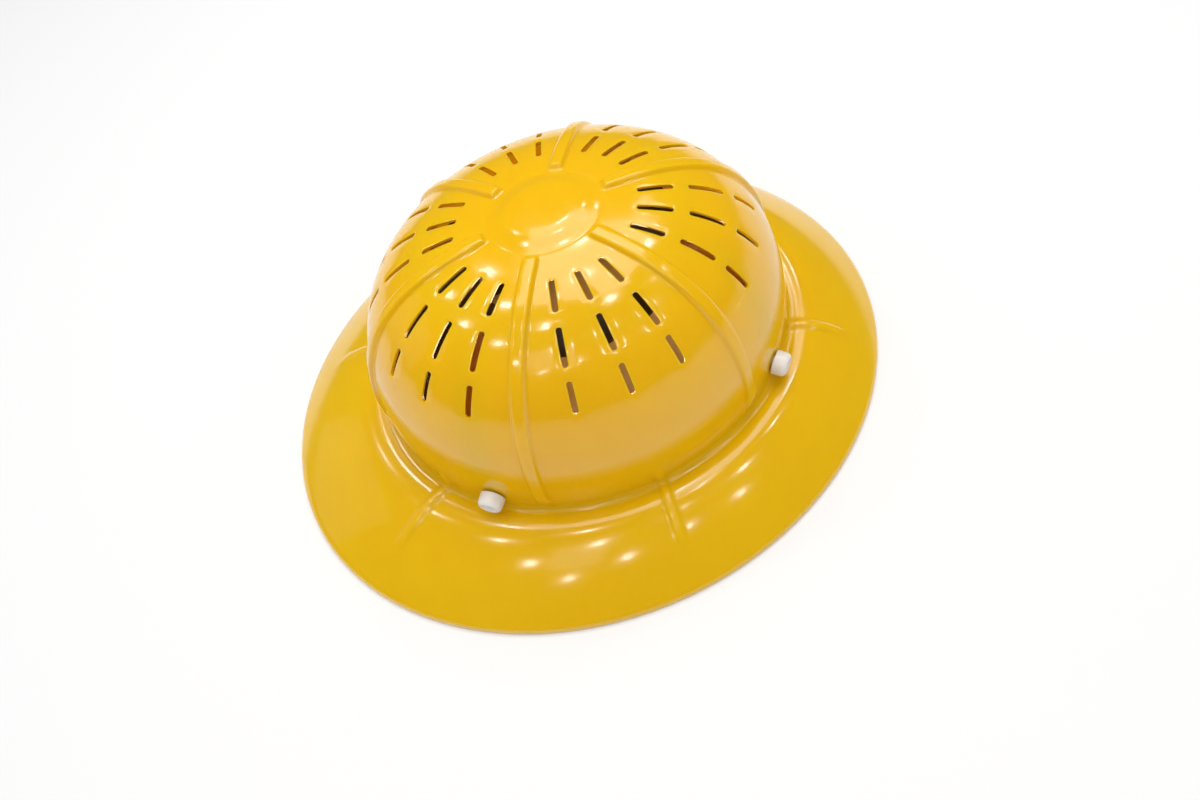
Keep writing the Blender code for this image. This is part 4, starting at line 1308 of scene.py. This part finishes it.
@dataclass
class Pad:
    """A padded strip that follows a band's inside, swelled as cloth and then stitched."""

    node: str
    body: str
    material: bpy.types.Material
    thread: bpy.types.Material
    builders: Builders
    voxel: float = 0.0016
    pressure: float = 4.0
    cloth_mass: float = 0.3
    last_frame: int = 20
    swell_cap: float = 0.0012
    margin: float = 0.0034
    stitch_pitch: float = 0.0044
    stitch_length: float = 0.0032
    stitch_slant: float = 0.10
    thread_radius: float = 0.00042
    thread_lift: float = 0.00012

    def build(self) -> None:
        """Make the pad and its two rows of stitches."""
        pad = link_mesh(f"{self.node}_visual", mesh_from(merged_copy(self.node), f"{self.node}_core"))
        self._refine(pad)
        self._swell(pad)
        self._relax(pad)
        dress(pad, self.material, self.body)
        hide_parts(self.node)
        self._stitch(pad)

    def _refine(self, pad: bpy.types.Object) -> None:
        """Remesh the pad's core finely enough to swell."""
        remesh = pad.modifiers.new("even_mesh", "REMESH")
        remesh.mode = "VOXEL"
        remesh.voxel_size = self.voxel
        bake(pad)

    def _swell(self, pad: bpy.types.Object) -> None:
        """Swell the pad under pressure, no point moving past the cap."""
        scene = bpy.context.scene
        before = np.array([v.co for v in pad.data.vertices])
        cloth = pad.modifiers.new("padding", "CLOTH")
        cloth.settings.use_pressure = True
        cloth.settings.uniform_pressure_force = self.pressure
        cloth.settings.effector_weights.gravity = 0.0
        cloth.settings.mass = self.cloth_mass
        cloth.settings.quality = 5
        cloth.point_cache.frame_start = 1
        cloth.point_cache.frame_end = self.last_frame
        for number in range(1, self.last_frame + 1):
            scene.frame_set(number)
        bake(pad)
        scene.frame_set(1)
        after = np.array([v.co for v in pad.data.vertices])
        step = after - before
        length = np.linalg.norm(step, axis=1, keepdims=True)
        step *= np.minimum(1.0, self.swell_cap / np.maximum(length, 1e-9))
        pad.data.vertices.foreach_set("co", (before + step).ravel())
        pad.data.update()

    @staticmethod
    def _relax(pad: bpy.types.Object) -> None:
        """Even out the pad's mesh and shade it smooth."""
        relax = pad.modifiers.new("relax", "SMOOTH")
        relax.factor = 0.5
        relax.iterations = 4
        bake(pad)
        pad.data.shade_smooth()

    def _stitch(self, pad: bpy.types.Object) -> None:
        """Lay rows of stitches along the pad's inner face, near its top and bottom edges."""
        heights = [v.co.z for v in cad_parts[self.node].data.vertices]
        path = bmesh.new()
        for level in (min(heights) + self.margin, max(heights) - self.margin):
            spots = [path.verts.new(spot) for spot in self._inner_line(pad, level)]
            for one, other in zip(spots, spots[1:]):
                path.edges.new((one, other))
        mesh = bpy.data.meshes.new(f"{self.node}_stitch_path")
        path.to_mesh(mesh)
        path.free()
        rows = self.builders.run(mesh, self.builders.stitched, f"{self.node}_stitches", {
            "Pitch": self.stitch_pitch, "Thread": self.thread_radius, "Length": self.stitch_length,
            "Slant": self.stitch_slant, "Finish": self.thread})
        dress(rows, self.thread, self.body)

    def _inner_line(self, pad: bpy.types.Object, level: float) -> list[Vector]:
        """Points on the pad's face towards the head, at a height.

        Args:
            pad: The finished pad.
            level: Height of the line.

        Returns:
            The points in order round the band.
        """
        centre = Vector((CROWN.x, CROWN.y, level))
        found = []
        for k in range(361):
            turn = math.radians(k) - 0.5 * math.pi
            axis = Vector((math.cos(turn), math.sin(turn), 0.0))
            hit, spot, _, _ = pad.ray_cast(centre, axis)
            if hit:
                found.append((k, spot - axis * self.thread_lift))
        breaks = [k for k in range(1, len(found)) if found[k][0] - found[k - 1][0] > 3]
        if breaks:
            found = found[breaks[0]:] + found[:breaks[0]]
        return [spot for _, spot in found][2:-2]


# ------------------------------------------------------------------ studio

@dataclass(frozen=True)
class Lamp:
    """Square soft light aimed at the crown."""

    name: str
    place: tuple[float, float, float]
    size: float
    power: float

    def build(self) -> None:
        """Add the light to the scene."""
        light = bpy.data.lights.new(self.name, "AREA")
        light.size = self.size
        light.energy = self.power
        made = bpy.data.objects.new(self.name, light)
        bpy.context.scene.collection.objects.link(made)
        made.location = self.place
        made.rotation_euler = (CROWN - Vector(self.place)).to_track_quat("-Z", "Y").to_euler()


@dataclass
class Studio:
    """Floor, lights and camera."""

    floor_size: float = 30.0
    floor_gap: float = 0.0003
    floor_shade: float = 0.84
    world_strength: float = 0.50
    room_strength: float = 0.09
    ceiling_height: float = 1.5
    ceiling_size: float = 0.085
    ceiling_power: float = 0.75
    glow_size: float = 0.10
    glow_power: float = 0.09
    glow_colour: tuple[float, float, float] = (1.0, 0.80, 0.55)
    glow_depth: float = 0.024
    azimuth: float = math.radians(82.4)
    elevation: float = math.radians(59.7)
    roll: float = math.radians(-18.7)
    aim_across: float = 0.084
    aim_rise: float = -0.333
    distance: float = 3.5
    sensor: float = 36.0
    focal_length: float = 21.28

    SOFT = (Lamp("soft_top", (-0.50, 0.30, 1.70), 1.1, 12.0),
            Lamp("soft_window", (0.78, -0.48, 1.15), 0.34, 0.45),
            Lamp("soft_front", (-0.70, -1.40, 0.60), 0.9, 0.7))

    def build(self) -> None:
        """Set the studio up."""
        self._world()
        self._floor()
        for lamp in self.SOFT:
            lamp.build()
        self._glow()
        for lamp in self._ceiling():
            lamp.build()
        self._camera()

    def _world(self) -> None:
        """White surroundings that gloss sees as a dimmer room."""
        world = bpy.data.worlds.new("studio_world")
        world.use_nodes = True
        tree = Tree(world.node_tree)
        paths = tree.add("ShaderNodeLightPath")
        lit = tree.add("ShaderNodeMapRange", {
            "Value": paths.outputs["Is Camera Ray"], "To Min": self.world_strength, "To Max": 1.0})
        strength = tree.add("ShaderNodeMapRange", {
            "Value": paths.outputs["Is Glossy Ray"], "To Min": lit.outputs[0], "To Max": self.room_strength})
        background = world.node_tree.nodes["Background"]
        background.inputs["Color"].default_value = (1.0, 1.0, 1.0, 1.0)
        world.node_tree.links.new(strength.outputs[0], background.inputs["Strength"])
        bpy.context.scene.world = world
        bpy.context.scene.view_settings.view_transform = "Standard"

    def _floor(self) -> None:
        """Plain pale floor."""
        bpy.ops.mesh.primitive_plane_add(size=self.floor_size, location=(0.0, 0.0, -self.floor_gap))
        floor = bpy.context.active_object
        floor.name = "studio_floor"
        paper = bpy.data.materials.new("floor_paper")
        paper.use_nodes = True
        shader = paper.node_tree.nodes["Principled BSDF"]
        shader.inputs["Base Color"].default_value = (*[self.floor_shade] * 3, 1.0)
        shader.inputs["Roughness"].default_value = 0.9
        shader.inputs["Specular IOR Level"].default_value = 0.0
        floor.data.materials.append(paper)

    def _ceiling(self) -> list[Lamp]:
        """Small ceiling lights, in rows of which every other one is shifted."""
        rows = ((-0.95, 0.10), (-0.35, 0.0), (0.25, 0.12), (0.85, 0.0), (1.45, 0.08))
        spots = [(x, y + shift, self.ceiling_height) for x, shift in rows for y in (-1.0, -0.4, 0.2, 0.8)]
        return [Lamp(f"ceiling_{k}", spot, self.ceiling_size, self.ceiling_power)
                for k, spot in enumerate(spots)]

    def _glow(self) -> None:
        """Warm fill that shines up into the crown, as light through the thin shell gives."""
        light = bpy.data.lights.new("inner_fill", "AREA")
        light.shape = "DISK"
        light.size = self.glow_size
        light.energy = self.glow_power
        light.color = self.glow_colour
        made = bpy.data.objects.new("inner_fill", light)
        bpy.context.scene.collection.objects.link(made)
        made.location = CROWN - UP * self.glow_depth
        made.rotation_euler = (math.pi, 0.0, 0.0)
        made.visible_camera = False

    def _camera(self) -> None:
        """Place the camera, high on the wearer's left and turned a little."""
        level = math.cos(self.elevation)
        back = Vector((math.sin(self.azimuth) * level, -math.cos(self.azimuth) * level,
                       math.sin(self.elevation)))
        right = UP.cross(back).normalized()
        upward = back.cross(right)
        across = right * math.cos(self.roll) + upward * math.sin(self.roll)
        rise = upward * math.cos(self.roll) - right * math.sin(self.roll)
        target = CROWN + (across * self.aim_across + rise * self.aim_rise) * CROWN_HALF_LENGTH
        lens = bpy.data.cameras.new("camera")
        lens.sensor_width = self.sensor
        lens.lens = self.focal_length
        camera = bpy.data.objects.new("camera", lens)
        bpy.context.scene.collection.objects.link(camera)
        turned = Matrix((across, rise, back)).transposed().to_4x4()
        turned.translation = target + back * self.distance * CROWN_HALF_LENGTH
        camera.matrix_world = turned
        bpy.context.scene.camera = camera


@dataclass
class Helmet:
    """The whole object, from shell to pads."""

    effects: Effects = field(default_factory=Effects)
    builders: Builders = field(default_factory=Builders)

    def build(self) -> None:
        """Make every piece of the helmet."""
        HelmetShell(SHELL_YELLOW.material(self.effects)).build()
        Fastenings(self.effects, self.builders).build()
        Harness(self.effects, self.builders).build()
        leather = PAD_BROWN.material(self.effects)
        thread = THREAD_TAN.material(self.effects)
        for node, body in (("sweatband", HELMET_BODY), ("nape_pad", NAPE_BODY)):
            Pad(node, body, leather, thread, self.builders).build()


def main() -> None:
    """Build the helmet and its studio."""
    logging.basicConfig(level=logging.INFO, format="%(name)s: %(message)s")
    Helmet().build()
    Studio().build()


if __name__ == "__main__":
    main()
